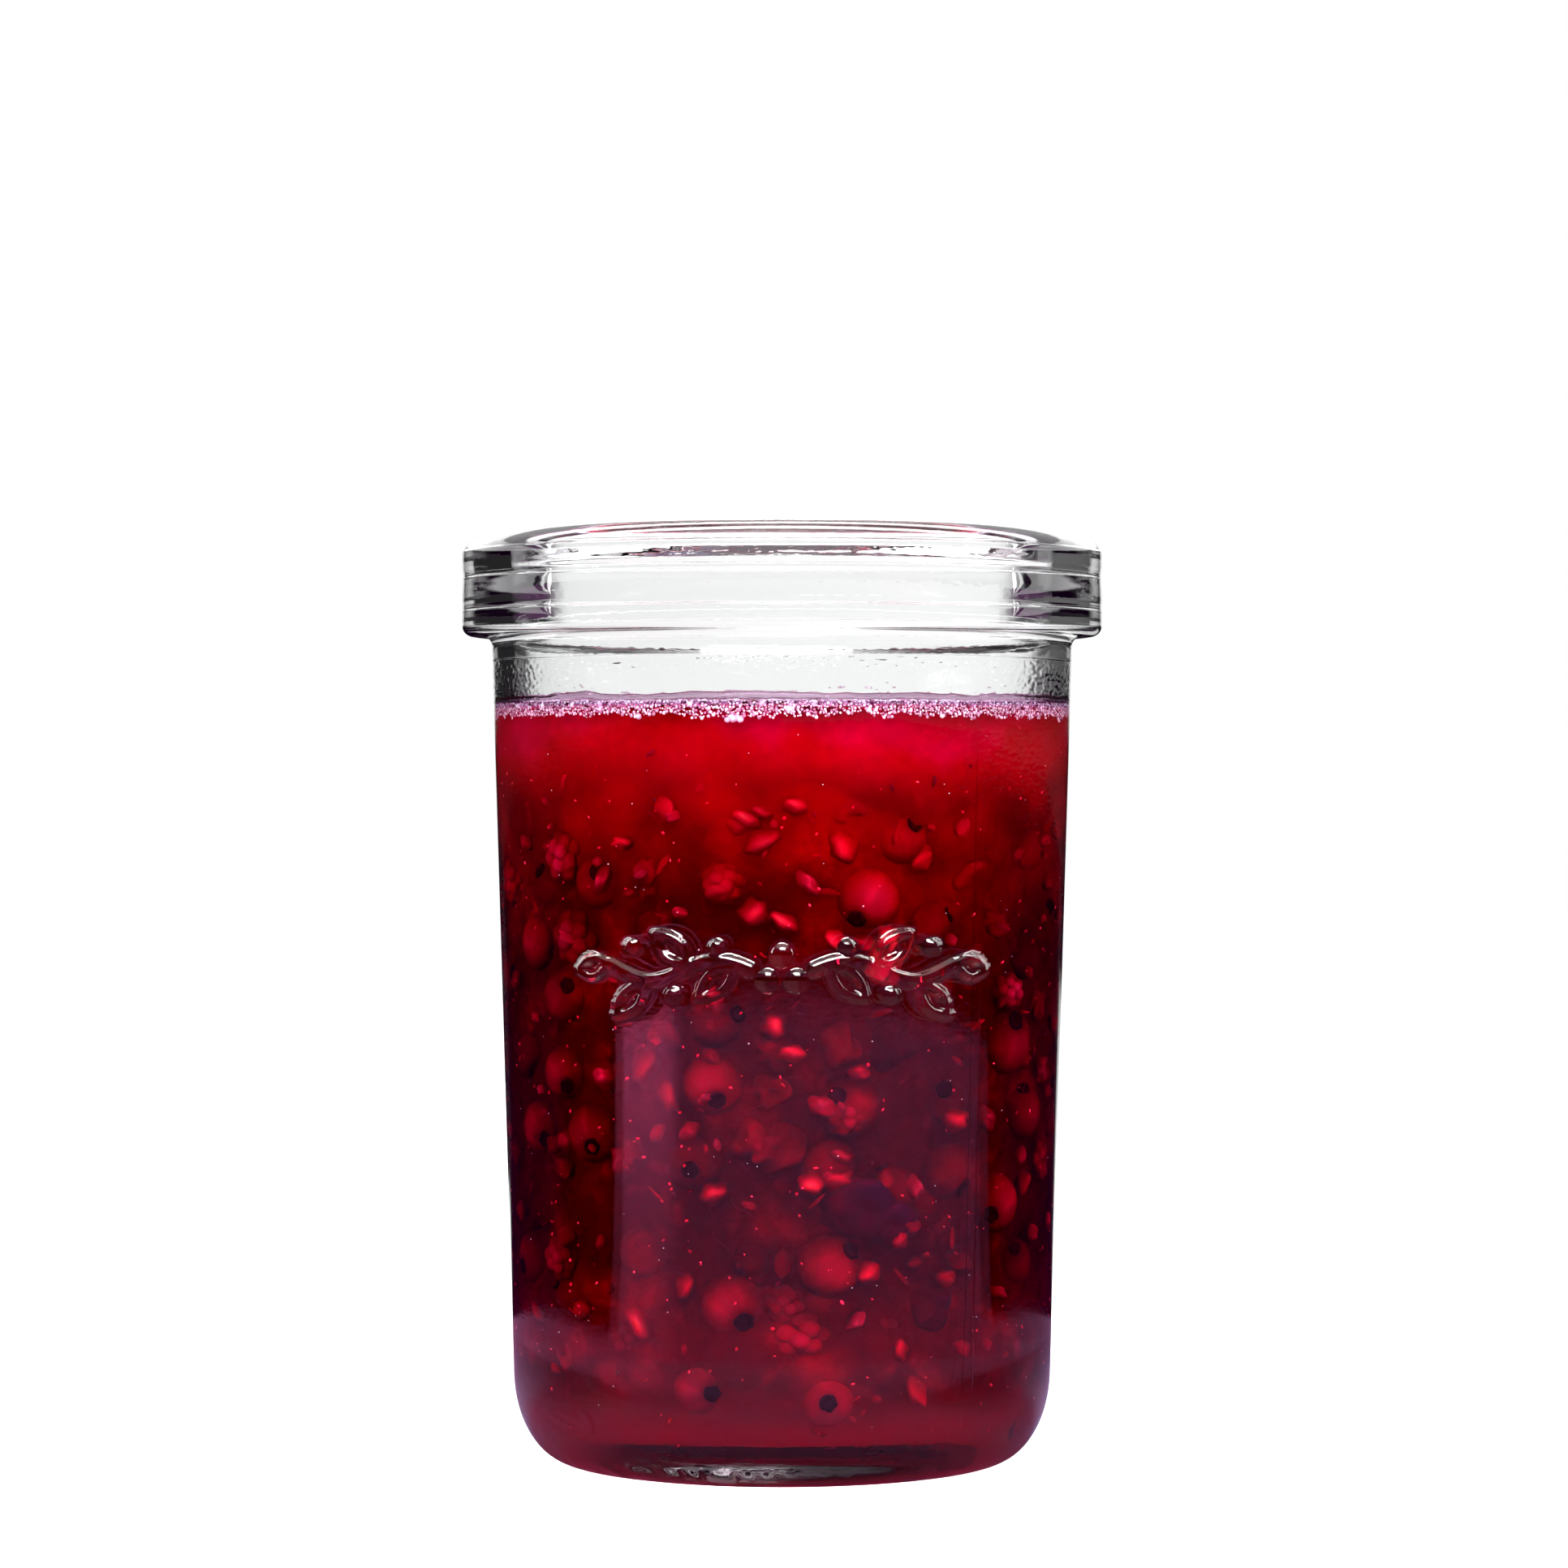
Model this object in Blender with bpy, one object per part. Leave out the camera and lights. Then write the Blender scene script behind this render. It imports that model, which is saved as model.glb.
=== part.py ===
"""An open preserving jar of red fruit compote.

Three turned solids share one upright axis: the thick glass jar, the compote that fills it, and the
collar of froth that floats on the compote along the wall. Metres, +Z up, origin on the axis at the
plane that the jar stands on.
"""

import math

import bmesh
import bpy

# Glass jar, outside
FOOT_RADIUS = 0.0315  # outer edge of the flat ring that the jar stands on
FOOT_INNER_RADIUS = 0.0270
PUSH_UP_HEIGHT = 0.0016  # the middle of the base is lifted off the table
HEEL_HEIGHT = 0.0137  # from the table to where the wall runs straight
BODY_LOW_RADIUS = 0.04026  # at the top of the heel
BODY_HIGH_RADIUS = 0.0435  # under the rim: the body widens upwards
BODY_HIGH_Z = 0.1219
RIM_UNDERSIDE_Z = 0.1234
RIM_RADIUS = 0.0480
RIM_CORNER = 0.0016  # round between the rim's underside and its side
RIM_EDGE_Z = 0.1361  # sharp parting edge at the top of the rim's side
RIM_EDGE_STEP = 0.0003
RIM_TOP_Z = 0.1391
CREST_RADIUS = 0.0432  # highest line of the rounded lip
LIP_EXPONENT = 1.6  # 2 is an ellipse, less is flatter in the middle

# Glass jar, inside
FLOOR_Z = 0.0055
FLOOR_RISE = 0.0006  # the floor follows the push-up a little
FLOOR_RADIUS = 0.0250
INNER_HEEL_HEIGHT = 0.0145
WALL_LOW = 0.0033  # thickness at the top of the heel
WALL_HIGH = 0.0031  # thickness under the rim
STEP_Z = 0.1203  # small shoulder where the neck is wider than the body
STEP_HEIGHT = 0.0012
NECK_RADIUS = 0.0409
LIP_START_Z = 0.1356  # the bore rounds over into the lip from here

# Compote and froth
GAP = 0.0003  # between solids that touch on the real jar
LEVEL_Z = 0.1141  # top of the compote and of the froth
FROTH_DEPTH = 0.0028
FROTH_WIDTH = 0.0042
FROTH_RAGGED = 0.00035  # how far the froth's faces wander
COMPOTE_EDGE = 0.0004  # round on the compote's top edge

# Facets
SIDES = 64
HEEL_STEPS = 8
INNER_HEEL_STEPS = 6
LIP_STEPS = 6
CORNER_STEPS = 3


def clear_scene():
    for thing in list(bpy.data.objects):
        bpy.data.objects.remove(thing, do_unlink=True)


def quarter(centre, width, height, steps, from_angle, to_angle, exponent=2.0):
    """Points on a quarter of a superellipse, the first and the last included."""
    points = []
    for i in range(steps + 1):
        angle = math.radians(from_angle + (to_angle - from_angle) * i / steps)
        across, up = math.cos(angle), math.sin(angle)
        points.append((
            centre[0] + width * math.copysign(abs(across) ** (2 / exponent), across),
            centre[1] + height * math.copysign(abs(up) ** (2 / exponent), up),
        ))
    return points


def outer_radius(z):
    """The body's outer radius on its straight, tapered stretch."""
    share = (z - HEEL_HEIGHT) / (BODY_HIGH_Z - HEEL_HEIGHT)
    return BODY_LOW_RADIUS + (BODY_HIGH_RADIUS - BODY_LOW_RADIUS) * share


def inner_radius(z):
    """The body's inner radius, by a wall that thins a little upwards."""
    share = (z - HEEL_HEIGHT) / (BODY_HIGH_Z - HEEL_HEIGHT)
    return outer_radius(z) - (WALL_LOW + (WALL_HIGH - WALL_LOW) * share)


def inside_outline(inset=0.0, top_z=STEP_Z):
    """The cavity from the middle of its floor up to top_z, drawn in by inset."""
    heel_top = FLOOR_Z + INNER_HEEL_HEIGHT
    heel_radius = inner_radius(heel_top) - inset
    floor = FLOOR_Z + inset
    points = [(0.0, floor + FLOOR_RISE), (FLOOR_RADIUS / 2, floor + FLOOR_RISE * 0.6)]
    points += quarter(
        (FLOOR_RADIUS, heel_top), heel_radius - FLOOR_RADIUS, heel_top - floor,
        INNER_HEEL_STEPS, -90, 0,
    )
    points.append((inner_radius(top_z) - inset, top_z))
    return points


def jar_outline():
    """The whole section of the glass: up the inside, over the lip, down the outside."""
    points = inside_outline()
    points.append((NECK_RADIUS, STEP_Z + STEP_HEIGHT))
    points += quarter(
        (CREST_RADIUS, LIP_START_Z), CREST_RADIUS - NECK_RADIUS, RIM_TOP_Z - LIP_START_Z,
        LIP_STEPS, 180, 90,
    )
    points += quarter(
        (CREST_RADIUS, RIM_EDGE_Z), RIM_RADIUS - RIM_EDGE_STEP - CREST_RADIUS,
        RIM_TOP_Z - RIM_EDGE_Z, LIP_STEPS, 90, 0, LIP_EXPONENT,
    )[1:]
    points.append((RIM_RADIUS, RIM_EDGE_Z - RIM_EDGE_STEP))
    points += quarter(
        (RIM_RADIUS - RIM_CORNER, RIM_UNDERSIDE_Z + RIM_CORNER), RIM_CORNER, RIM_CORNER,
        CORNER_STEPS, 0, -90,
    )
    fillet = RIM_UNDERSIDE_Z - BODY_HIGH_Z
    points += quarter(
        (BODY_HIGH_RADIUS + fillet, BODY_HIGH_Z), fillet, fillet, CORNER_STEPS, 90, 180,
    )
    points += quarter(
        (FOOT_RADIUS, HEEL_HEIGHT), BODY_LOW_RADIUS - FOOT_RADIUS, HEEL_HEIGHT,
        HEEL_STEPS, 0, -90,
    )
    points.append((FOOT_INNER_RADIUS, 0.0))
    for share in (0.9, 0.6, 0.0):
        lift = PUSH_UP_HEIGHT * (1 - share**2)
        points.append((FOOT_INNER_RADIUS * share, lift))
    return points


def compote_outline():
    """The compote fills the cavity and leaves a rebate at its edge for the froth."""
    shelf_z = LEVEL_Z - FROTH_DEPTH - FROTH_RAGGED - GAP
    wall = inner_radius(LEVEL_Z) - GAP
    rebate = wall - FROTH_WIDTH - GAP
    points = inside_outline(GAP, shelf_z)
    points.append((rebate, shelf_z))
    points += quarter(
        (rebate - COMPOTE_EDGE, LEVEL_Z - COMPOTE_EDGE), COMPOTE_EDGE, COMPOTE_EDGE,
        CORNER_STEPS, 0, 90,
    )
    points.append((0.0, LEVEL_Z))
    return points[::-1]


def turned(name, outline):
    """A solid turned about Z from an outline of (radius, height) that ends on the axis."""
    mesh = bpy.data.meshes.new(name)
    solid = bpy.data.objects.new(name, mesh)
    bpy.context.collection.objects.link(solid)
    shape = bmesh.new()
    corners = [shape.verts.new((radius, 0.0, height)) for radius, height in outline]
    for first, second in zip(corners, corners[1:]):
        shape.edges.new((first, second))
    bmesh.ops.spin(
        shape, geom=shape.verts[:] + shape.edges[:], angle=math.tau, steps=SIDES,
        axis=(0, 0, 1), cent=(0, 0, 0), use_merge=True,
    )
    bmesh.ops.remove_doubles(shape, verts=shape.verts[:], dist=0.00001)
    bmesh.ops.recalc_face_normals(shape, faces=shape.faces[:])
    shape.to_mesh(mesh)
    shape.free()
    return solid


def froth_ring(name):
    """A flat ring whose top, inner side and underside wander like packed bubbles."""
    wall = inner_radius(LEVEL_Z - FROTH_DEPTH) - GAP
    low, high = LEVEL_Z - FROTH_DEPTH, LEVEL_Z - FROTH_RAGGED
    width = FROTH_WIDTH - FROTH_RAGGED
    section = [
        (wall, low + 0.15 * FROTH_DEPTH), (wall, high - 0.1 * FROTH_DEPTH),
        (wall - 0.12 * width, high), (wall - 0.5 * width, high),
        (wall - 0.9 * width, high - 0.1 * FROTH_DEPTH), (wall - width, low + 0.5 * FROTH_DEPTH),
        (wall - 0.9 * width, low + 0.1 * FROTH_DEPTH), (wall - 0.5 * width, low),
    ]
    wanders = (False, False, True, True, True, True, True, True)
    mesh = bpy.data.meshes.new(name)
    ring = bpy.data.objects.new(name, mesh)
    bpy.context.collection.objects.link(ring)
    shape = bmesh.new()
    rows = []
    for i in range(SIDES):
        turn = math.tau * i / SIDES
        row = []
        for j, (radius, height) in enumerate(section):
            wave = 0.5 * math.sin(9 * turn + 1.7 * j) + 0.5 * math.sin(23 * turn + 0.9 * j)
            drift = FROTH_RAGGED * wave if wanders[j] else 0.0
            row.append(shape.verts.new(
                (radius * math.cos(turn), radius * math.sin(turn), height + drift)
            ))
        rows.append(row)
    for here, after in zip(rows, rows[1:] + rows[:1]):
        for j in range(len(section)):
            k = (j + 1) % len(section)
            shape.faces.new((here[j], after[j], after[k], here[k]))
    bmesh.ops.recalc_face_normals(shape, faces=shape.faces[:])
    shape.to_mesh(mesh)
    shape.free()
    return ring


def finish(thing, colour, roughness, transmission=0.0):
    """One plain material for each solid, and smooth shading with its sharp edges kept."""
    material = bpy.data.materials.new(thing.name)
    material.use_nodes = True
    shader = material.node_tree.nodes["Principled BSDF"]
    shader.inputs["Base Color"].default_value = (*colour, 1.0)
    shader.inputs["Metallic"].default_value = 0.0
    shader.inputs["Roughness"].default_value = roughness
    shader.inputs["Transmission Weight"].default_value = transmission
    thing.data.materials.append(material)
    thing.data.shade_smooth()
    thing.data.set_sharp_from_angle(angle=math.radians(40))


clear_scene()
finish(turned("glass_jar", jar_outline()), (0.93, 0.95, 0.95), 0.02, 1.0)
finish(turned("fruit_compote", compote_outline()), (0.30, 0.004, 0.015), 0.15)
finish(froth_ring("froth_collar"), (0.82, 0.45, 0.55), 0.35)
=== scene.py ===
# %% [markdown]
# # An open jar of red fruit compote
#
# A thick pressed-glass preserving jar, filled with a cloudy red compote of currants and other soft
# fruit. The lesson goes from the camera to the glass, then to what is inside it: the syrup, its murky
# middle, the fruit, and the froth that floats along the wall. Each cell says what the real thing is
# and why it is made the way it is.

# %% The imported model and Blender's tools
import math
import random

import bmesh
import bpy
import numpy as np
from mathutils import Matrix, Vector, noise


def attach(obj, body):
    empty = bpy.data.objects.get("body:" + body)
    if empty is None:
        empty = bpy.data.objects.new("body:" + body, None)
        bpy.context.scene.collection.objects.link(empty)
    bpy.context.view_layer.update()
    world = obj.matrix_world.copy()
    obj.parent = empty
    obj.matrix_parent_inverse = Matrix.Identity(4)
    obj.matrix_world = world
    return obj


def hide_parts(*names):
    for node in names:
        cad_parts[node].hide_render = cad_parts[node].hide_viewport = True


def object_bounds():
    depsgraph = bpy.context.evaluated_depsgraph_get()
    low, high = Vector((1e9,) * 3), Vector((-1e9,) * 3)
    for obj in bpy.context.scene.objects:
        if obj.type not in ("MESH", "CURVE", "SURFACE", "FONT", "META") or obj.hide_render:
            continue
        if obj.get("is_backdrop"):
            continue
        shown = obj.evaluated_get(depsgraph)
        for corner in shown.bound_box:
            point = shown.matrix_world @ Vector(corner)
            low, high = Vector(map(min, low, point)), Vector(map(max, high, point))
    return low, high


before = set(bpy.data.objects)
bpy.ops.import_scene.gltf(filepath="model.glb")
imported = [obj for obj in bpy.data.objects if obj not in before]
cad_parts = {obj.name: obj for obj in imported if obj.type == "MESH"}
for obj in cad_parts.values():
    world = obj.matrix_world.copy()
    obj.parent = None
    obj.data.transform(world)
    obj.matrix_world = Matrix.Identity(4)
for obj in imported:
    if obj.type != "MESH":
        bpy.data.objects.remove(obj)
cad_low, cad_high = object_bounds()
MM = 0.001
print("the packed jar is", [round(1000 * n, 1) for n in cad_high - cad_low], "mm")

# %% [markdown]
# ## Sizes
# A jar is a turned shape, so it is described by radii and heights. The rim's radius and the jar's
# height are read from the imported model. The others repeat the sizes that the solids were built with,
# so that the fine glass lies where the plain glass does.

# %% Sizes of the glass
RIM_RADIUS = cad_high.x
RIM_TOP = cad_high.z
FOOT_RADIUS, FOOT_INNER_RADIUS = 31.5 * MM, 27.0 * MM
PUSH_UP = 1.6 * MM
HEEL_HEIGHT = 13.7 * MM
BODY_LOW_RADIUS, BODY_HIGH_RADIUS = 40.26 * MM, 43.5 * MM
BODY_HIGH = 121.9 * MM
RIM_UNDERSIDE = 123.4 * MM
RIM_CORNER = 1.6 * MM
RIM_EDGE, RIM_EDGE_STEP = 136.1 * MM, 0.3 * MM
CREST_RADIUS = 43.2 * MM
LIP_EXPONENT = 1.6
FLOOR, FLOOR_RISE, FLOOR_RADIUS = 5.5 * MM, 0.6 * MM, 25.0 * MM
INNER_HEEL = 14.5 * MM
WALL_LOW, WALL_HIGH = 3.3 * MM, 3.1 * MM
NECK_START, NECK_RADIUS = 118.0 * MM, 40.9 * MM
LIP_START = 135.6 * MM
LEVEL = 114.1 * MM


def outer_radius(z):
    """The outside of the body, which widens evenly from the heel to the rim."""
    share = (z - HEEL_HEIGHT) / (BODY_HIGH - HEEL_HEIGHT)
    return BODY_LOW_RADIUS + (BODY_HIGH_RADIUS - BODY_LOW_RADIUS) * share


def inner_radius(z):
    """The inside of the body, where the wall thins a little upwards."""
    share = (z - HEEL_HEIGHT) / (BODY_HIGH - HEEL_HEIGHT)
    return outer_radius(z) - (WALL_LOW + (WALL_HIGH - WALL_LOW) * share)


print("wall of", round(1000 * (outer_radius(LEVEL) - inner_radius(LEVEL)), 2), "mm at the level")

# %% [markdown]
# ## Camera
# The jar is seen straight from the side, from about three quarters of the way up, through a long
# lens. A long lens from a distance keeps the rim's curve shallow, as it is on a product picture.

# %% Camera
EYE_HEIGHT = 102.4 * MM
EYE_DISTANCE = 763 * MM
LOOK_AT = Vector((0.3 * MM, 0.0, 101.3 * MM))
SENSOR, LENS = 36.0, 116.55  # as on a camera with full frame, mm


def add_object(name, data):
    """A new object in the scene."""
    made = bpy.data.objects.new(name, data)
    bpy.context.collection.objects.link(made)
    return made


camera = add_object("camera", bpy.data.cameras.new("camera"))
camera.location = (0.0, -EYE_DISTANCE, EYE_HEIGHT)
camera.rotation_euler = (LOOK_AT - camera.location).to_track_quat("-Z", "Y").to_euler()
camera.data.sensor_width = SENSOR
camera.data.lens = LENS
bpy.context.scene.camera = camera
bpy.context.scene.view_settings.view_transform = "Standard"
print("camera", round(EYE_DISTANCE, 3), "m away, lens", round(camera.data.lens, 1), "mm")

# %% [markdown]
# ## A few words for building node trees
# Materials, the world and the geometry trees are all graphs of nodes. These helpers keep each graph
# readable. One makes a node and fills its inputs, with plain values or with what other nodes give.
# What a node gives can be added, multiplied and so on like a number: each sum becomes a math node.

# %% What a node gives


class Given:
    """What a node gives. A sum made with it becomes a math node in its tree."""

    def __init__(self, socket):
        self.socket = socket
        self.tree = socket.id_data

    def __add__(self, other):
        return math_node("ADD", self, other)

    def __radd__(self, other):
        return math_node("ADD", other, self)

    def __sub__(self, other):
        return math_node("SUBTRACT", self, other)

    def __rsub__(self, other):
        return math_node("SUBTRACT", other, self)

    def __mul__(self, other):
        return math_node("MULTIPLY", self, other)

    def __truediv__(self, other):
        return math_node("DIVIDE", self, other)

    def __pow__(self, other):
        return math_node("POWER", self, other)

    def __abs__(self):
        return math_node("ABSOLUTE", self)


print("sums of what nodes give are math nodes")

# %% Make a node and fill its inputs


def fill(made, inputs):
    """Fills a node's inputs, by name or number, with plain values or with what nodes give."""
    for key, value in inputs.items():
        socket = made.inputs[key]
        if isinstance(value, Given):
            value.tree.links.new(value.socket, socket)
        else:
            socket.default_value = (*value, 1) if socket.type == "RGBA" else value


def node(tree, kind, inputs=None, out=0, **settings):
    """Makes a node of that kind. Returns what one output gives, or a table of all of them."""
    made = tree.nodes.new(kind)
    for name, value in settings.items():
        setattr(made, name, value)
    fill(made, inputs or {})
    if out == "all":
        table = {i: Given(socket) for i, socket in enumerate(made.outputs)}
        return table | {socket.name: Given(socket) for socket in made.outputs}
    return None if out is None else Given(made.outputs[out])


print("nodes can be made")

# %% Sums and soft ramps
DEGREES = 180 / math.pi  # in a radian


def tree_of(values):
    return next(value.tree for value in values if isinstance(value, Given))


def math_node(operation, *values):
    return node(tree_of(values), "ShaderNodeMath", dict(enumerate(values)), operation=operation)


def highest(*values):
    return math_node("MAXIMUM", *values)


def lowest(*values):
    return math_node("MINIMUM", *values)


def ramp(value, start, end, low=0.0, high=1.0):
    """low below start, high above end, and a soft ramp between."""
    return node(value.tree, "ShaderNodeMapRange", {
        "Value": value, "From Min": start, "From Max": end, "To Min": low, "To Max": high,
    }, interpolation_type="SMOOTHSTEP")


def fade(value, start, end):
    """1 below start, 0 above end, and a soft ramp between."""
    return ramp(value, start, end, 1.0, 0.0)


print("a radian is", round(DEGREES, 1), "degrees")

# %% Vectors and colours


def vector_math(operation, *vectors, out=0, **inputs):
    inputs = dict(enumerate(vectors)) | inputs
    return node(vectors[0].tree, "ShaderNodeVectorMath", inputs, out, operation=operation)


def length_of(vector):
    return vector_math("LENGTH", vector, out="Value")


def parts_of(vector):
    """The x, y and z of a vector."""
    table = node(vector.tree, "ShaderNodeSeparateXYZ", {0: vector}, out="all")
    return [table[i] for i in range(3)]


def mix_colour(factor, first, second, blend="MIX"):
    inputs = {0: factor, 6: first, 7: second}
    return node(tree_of(inputs.values()), "ShaderNodeMix", inputs, out=2, data_type="RGBA",
                blend_type=blend)


print("vector and colour helpers ready")

# %% Patterns and materials


def place(tree, scale=(1, 1, 1)):
    """Object coordinates in metres, scaled for a pattern."""
    where = node(tree, "ShaderNodeTexCoord", out="Object")
    return node(tree, "ShaderNodeMapping", {"Vector": where, "Scale": scale})


def noise_pattern(where, scale, detail, roughness=0.5):
    return node(where.tree, "ShaderNodeTexNoise", {
        "Vector": where, "Scale": scale, "Detail": detail, "Roughness": roughness,
    })


def new_material(name, inputs):
    """A material whose shader has those inputs, and its tree, shader and output."""
    material = bpy.data.materials.new(name)
    material.use_nodes = True
    tree = material.node_tree
    shader = tree.nodes["Principled BSDF"]
    fill(shader, inputs)
    return material, tree, shader, tree.nodes["Material Output"]


def let_lamps_through(tree, shader, output, colour=(1, 1, 1)):
    """Lamplight passes the piece, so it throws no hard shadow on what lies behind it."""
    is_shadow = node(tree, "ShaderNodeLightPath", out="Is Shadow Ray")
    clear = node(tree, "ShaderNodeBsdfTransparent", {"Color": colour})
    shaded = Given(shader.outputs[0])
    fill(output, {"Surface": node(tree, "ShaderNodeMixShader", {0: is_shadow, 1: shaded, 2: clear})})


print("node helpers ready")

# %% [markdown]
# ## Studio
# Glass has hardly any look of its own: it shows what stands round it. A jar is photographed in front
# of a lit white backdrop, with dark boards at both sides so that its edges read as dark bands, and a
# large soft light overhead. The world holds that studio as brightness by direction. The camera itself
# sees only the plain pale backdrop.

# %% Measures of the studio
SOFT = 3.0  # half the width of a soft edge, in degrees
BACKDROP_EDGE = 15.0  # the lit backdrop reaches this far either side of straight behind
BACK_TABLE_EDGE = 20.0  # the lit table behind the jar is wider
BACK_REACH = (0.48, 1.5)  # how far it runs back, on the left and on the right
ROOM = 0.005
ROOM_SEEN_THROUGH, ROOM_TURN = (0.02, 0.13), (-10.0, 10.0)  # on the left and on the right
ROOM_FRONT, ROOM_FRONT_TURN = 0.9, (80.0, 100.0)  # pale, seen through the glass from behind
PANEL_RISE = (0.0, 0.8)  # where mirrored light from the backdrop begins, above the horizon
LOW_TINT = (0.085, 0.020, 0.085)  # what lies low at the sides takes the compote's colour
LOW_RISE, LOW_TURN, LOW_MIRRORED = (-0.9, -0.1), (110.0, 130.0), 0.1
SWEEP_TURN, SWEEP_FROM, SWEEP_TO, SWEEP = (58.0, 82.0), (7.0, 15.0), (40.0, 48.0), 1.6
THROWN_DARK = 0.97  # how much the base darkens what it throws about
LINE, LINE_RISE = 0.95, (30.0, 33.0)  # but what it throws from this high up stays light
OVERHEAD, OVERHEAD_RISE, OVERHEAD_TURN = 1.8, (44.0, 60.0), (80.0, 110.0)
STRIPS = (  # long lights across the ceiling: from and to, in degrees over from behind, strength
    (8.0, 34.0, 3.0), (50.0, 60.0, 9.0), (72.0, 86.0, 15.0),
)
STRIP_SOFT = 1.5


def ray_kinds(tree):
    """The light path, whether a ray was ever mirrored, and whether it came straight through."""
    rays = node(tree, "ShaderNodeLightPath", out="all")
    mirrored = lowest(rays["Glossy Depth"], 1.0)
    return rays, mirrored, rays["Is Transmission Ray"] * (1.0 - mirrored)


print(len(STRIPS), "strip lights, backdrop up to", BACKDROP_EDGE, "degrees")

# %% Backdrop
world = bpy.data.worlds.new("studio")
world.use_nodes = True
bpy.context.scene.world = world
sky = world.node_tree
sky.nodes.clear()
x, y, z = parts_of(node(sky, "ShaderNodeTexCoord", out="Generated"))
signed_turn = math_node("ARCTAN2", x, y) * DEGREES
turn = abs(signed_turn)
rise = math_node("ARCSINE", z) * DEGREES

# light that came straight through the glass sees the backdrop whole. Mirrored light sees it only
# above the horizon, and what the thick base has thrown about sees it on one side
rays, mirrored, through = ray_kinds(sky)
backdrop = fade(turn, BACKDROP_EDGE - SOFT, BACKDROP_EDGE + SOFT)
backdrop = backdrop * highest(ramp(rise, *PANEL_RISE), through)

# its upper part curves forwards over the jar and is wide
sweep = fade(turn, *SWEEP_TURN) * ramp(rise, *SWEEP_FROM) * fade(rise, *SWEEP_TO)
sweep = sweep * ramp(rays["Is Reflection Ray"], 0.0, 1.0, 1.0, SWEEP)
studio = highest(backdrop, sweep)
thrown = math_node("GREATER_THAN", rays["Glossy Depth"], 1.5) * rays["Is Transmission Ray"]
line = ramp(rise, *LINE_RISE, 0.0, LINE) * ramp(signed_turn, -SOFT, SOFT)
studio = studio * (1.0 - thrown * (THROWN_DARK - line))
print("backdrop set")

# %% Lights overhead and the dark room
# a soft light overhead, in front of the jar
studio = studio + ramp(rise, *OVERHEAD_RISE, 0.0, OVERHEAD) * ramp(turn, *OVERHEAD_TURN)

# strip lights run across the ceiling. Only mirrored light sees them: they draw the lip
over = math_node("ARCTAN2", z, y) * DEGREES
off_mirror = rays["Is Glossy Ray"] * rays["Is Reflection Ray"]
for start, end, strength in STRIPS:
    strip = ramp(over, start - STRIP_SOFT, start + STRIP_SOFT)
    strip = strip * ramp(over, end - STRIP_SOFT, end + STRIP_SOFT, strength, 0.0)
    studio = studio + strip * off_mirror

# the room is dark. Seen through the glass it is paler on the right, and palest in front
room = ramp(signed_turn, *ROOM_TURN, *ROOM_SEEN_THROUGH)
studio = studio + ramp(rays["Is Transmission Ray"], 0.0, 1.0, ROOM, room)
studio = highest(studio, through * ramp(turn, *ROOM_FRONT_TURN, 0.0, ROOM_FRONT))
low = fade(rise, *LOW_RISE) * fade(turn, *LOW_TURN) * (1.0 - backdrop)
low = low * ramp(through, 0.0, 1.0, LOW_MIRRORED, 1.0)
studio = mix_colour(low, studio, LOW_TINT)
seen = node(sky, "ShaderNodeBackground", {"Color": (1, 1, 1), "Strength": 1.0})
lit = node(sky, "ShaderNodeBackground", {"Color": studio, "Strength": 1.0})
both = node(sky, "ShaderNodeMixShader", {0: rays["Is Camera Ray"], 1: lit, 2: seen})
node(sky, "ShaderNodeOutputWorld", {"Surface": both}, out=None)
print("studio world set")

# %% [markdown]
# ## Table
# The camera sees a plain pale table. The glass and the wet fruit mirror another one: a lit top that
# ends in front of the jar, a patch of light round its foot, and the compote's own red glow under it.
# The colour depends on the way and the distance from the jar, and on what kind of ray looks.

# %% Measures of the table
FLOOR_SIZE, FLOOR_DROP = 6.0, 0.02 * MM
TABLE_REACH = (0.67, 0.75)  # the lit table ends this far in front of the jar
TABLE_LEFT, TABLE_RIGHT = -69.6, 90.7  # degrees from straight in front, where the boards start
TABLE_NEAR = (0.157, 0.167)  # round the jar the table is lit on all sides
TABLE_FAR = 0.068  # brightness of the lit table as the glass sees it
TABLE_CLOSE = 0.36  # right by the jar
TABLE_TINT, CLOSE_TINT = (1.0, 0.36, 0.95), (0.70, 0.55, 1.0)
LEFT_TINT = (5.8, 1.0, 2.5)  # on the left the table is brighter
BESIDE, BESIDE_TURN = (0.006, 0.000, 0.008), (95.0, 110.0)  # at the sides, towards the back
BEHIND, BEHIND_TURN = (0.85, 0.85, 0.85), (160.0, 168.0)  # the pale table behind the jar
UNDER = (0.07, 0.007, 0.022)  # the compote's glow under the jar
SHADE, MIRRORED_SHADE = (0.030, 0.003, 0.010), (0.13, 0.11, 0.14)  # the shade behind the jar
SCATTERED = (0.5, 0.5, 0.5)  # what dull things get back from the table
SEEN, SEEN_GLOW = (0.9, 0.9, 0.9), 0.42  # the table as the camera sees it
LEFT_EDGE = (TABLE_LEFT + 20, TABLE_LEFT + 30)  # the brighter table on the left ends here
LEFT_REACH, LEFT_FIRST = (0.18, 0.55), 0.25  # it begins by the jar at a quarter of that
ROUNDER_TURN, ROUNDER = (60.0, 120.0), 0.8  # the near patch reaches further behind the jar
POOL_REACH, POOL = (0.06, 0.11), 0.15  # light close by the jar
WIDE_REACH, WIDE, WIDE_TURN = (0.07, 0.17), (0.62, 0.10), (88.0, 122.0)  # beside and behind it
SHADE_REACH, SHADE_TURN = (0.10, 0.22), (150.0, 165.0)
UNDER_REACH = (0.030, 0.044)  # the glow ends before the foot's edge
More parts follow.
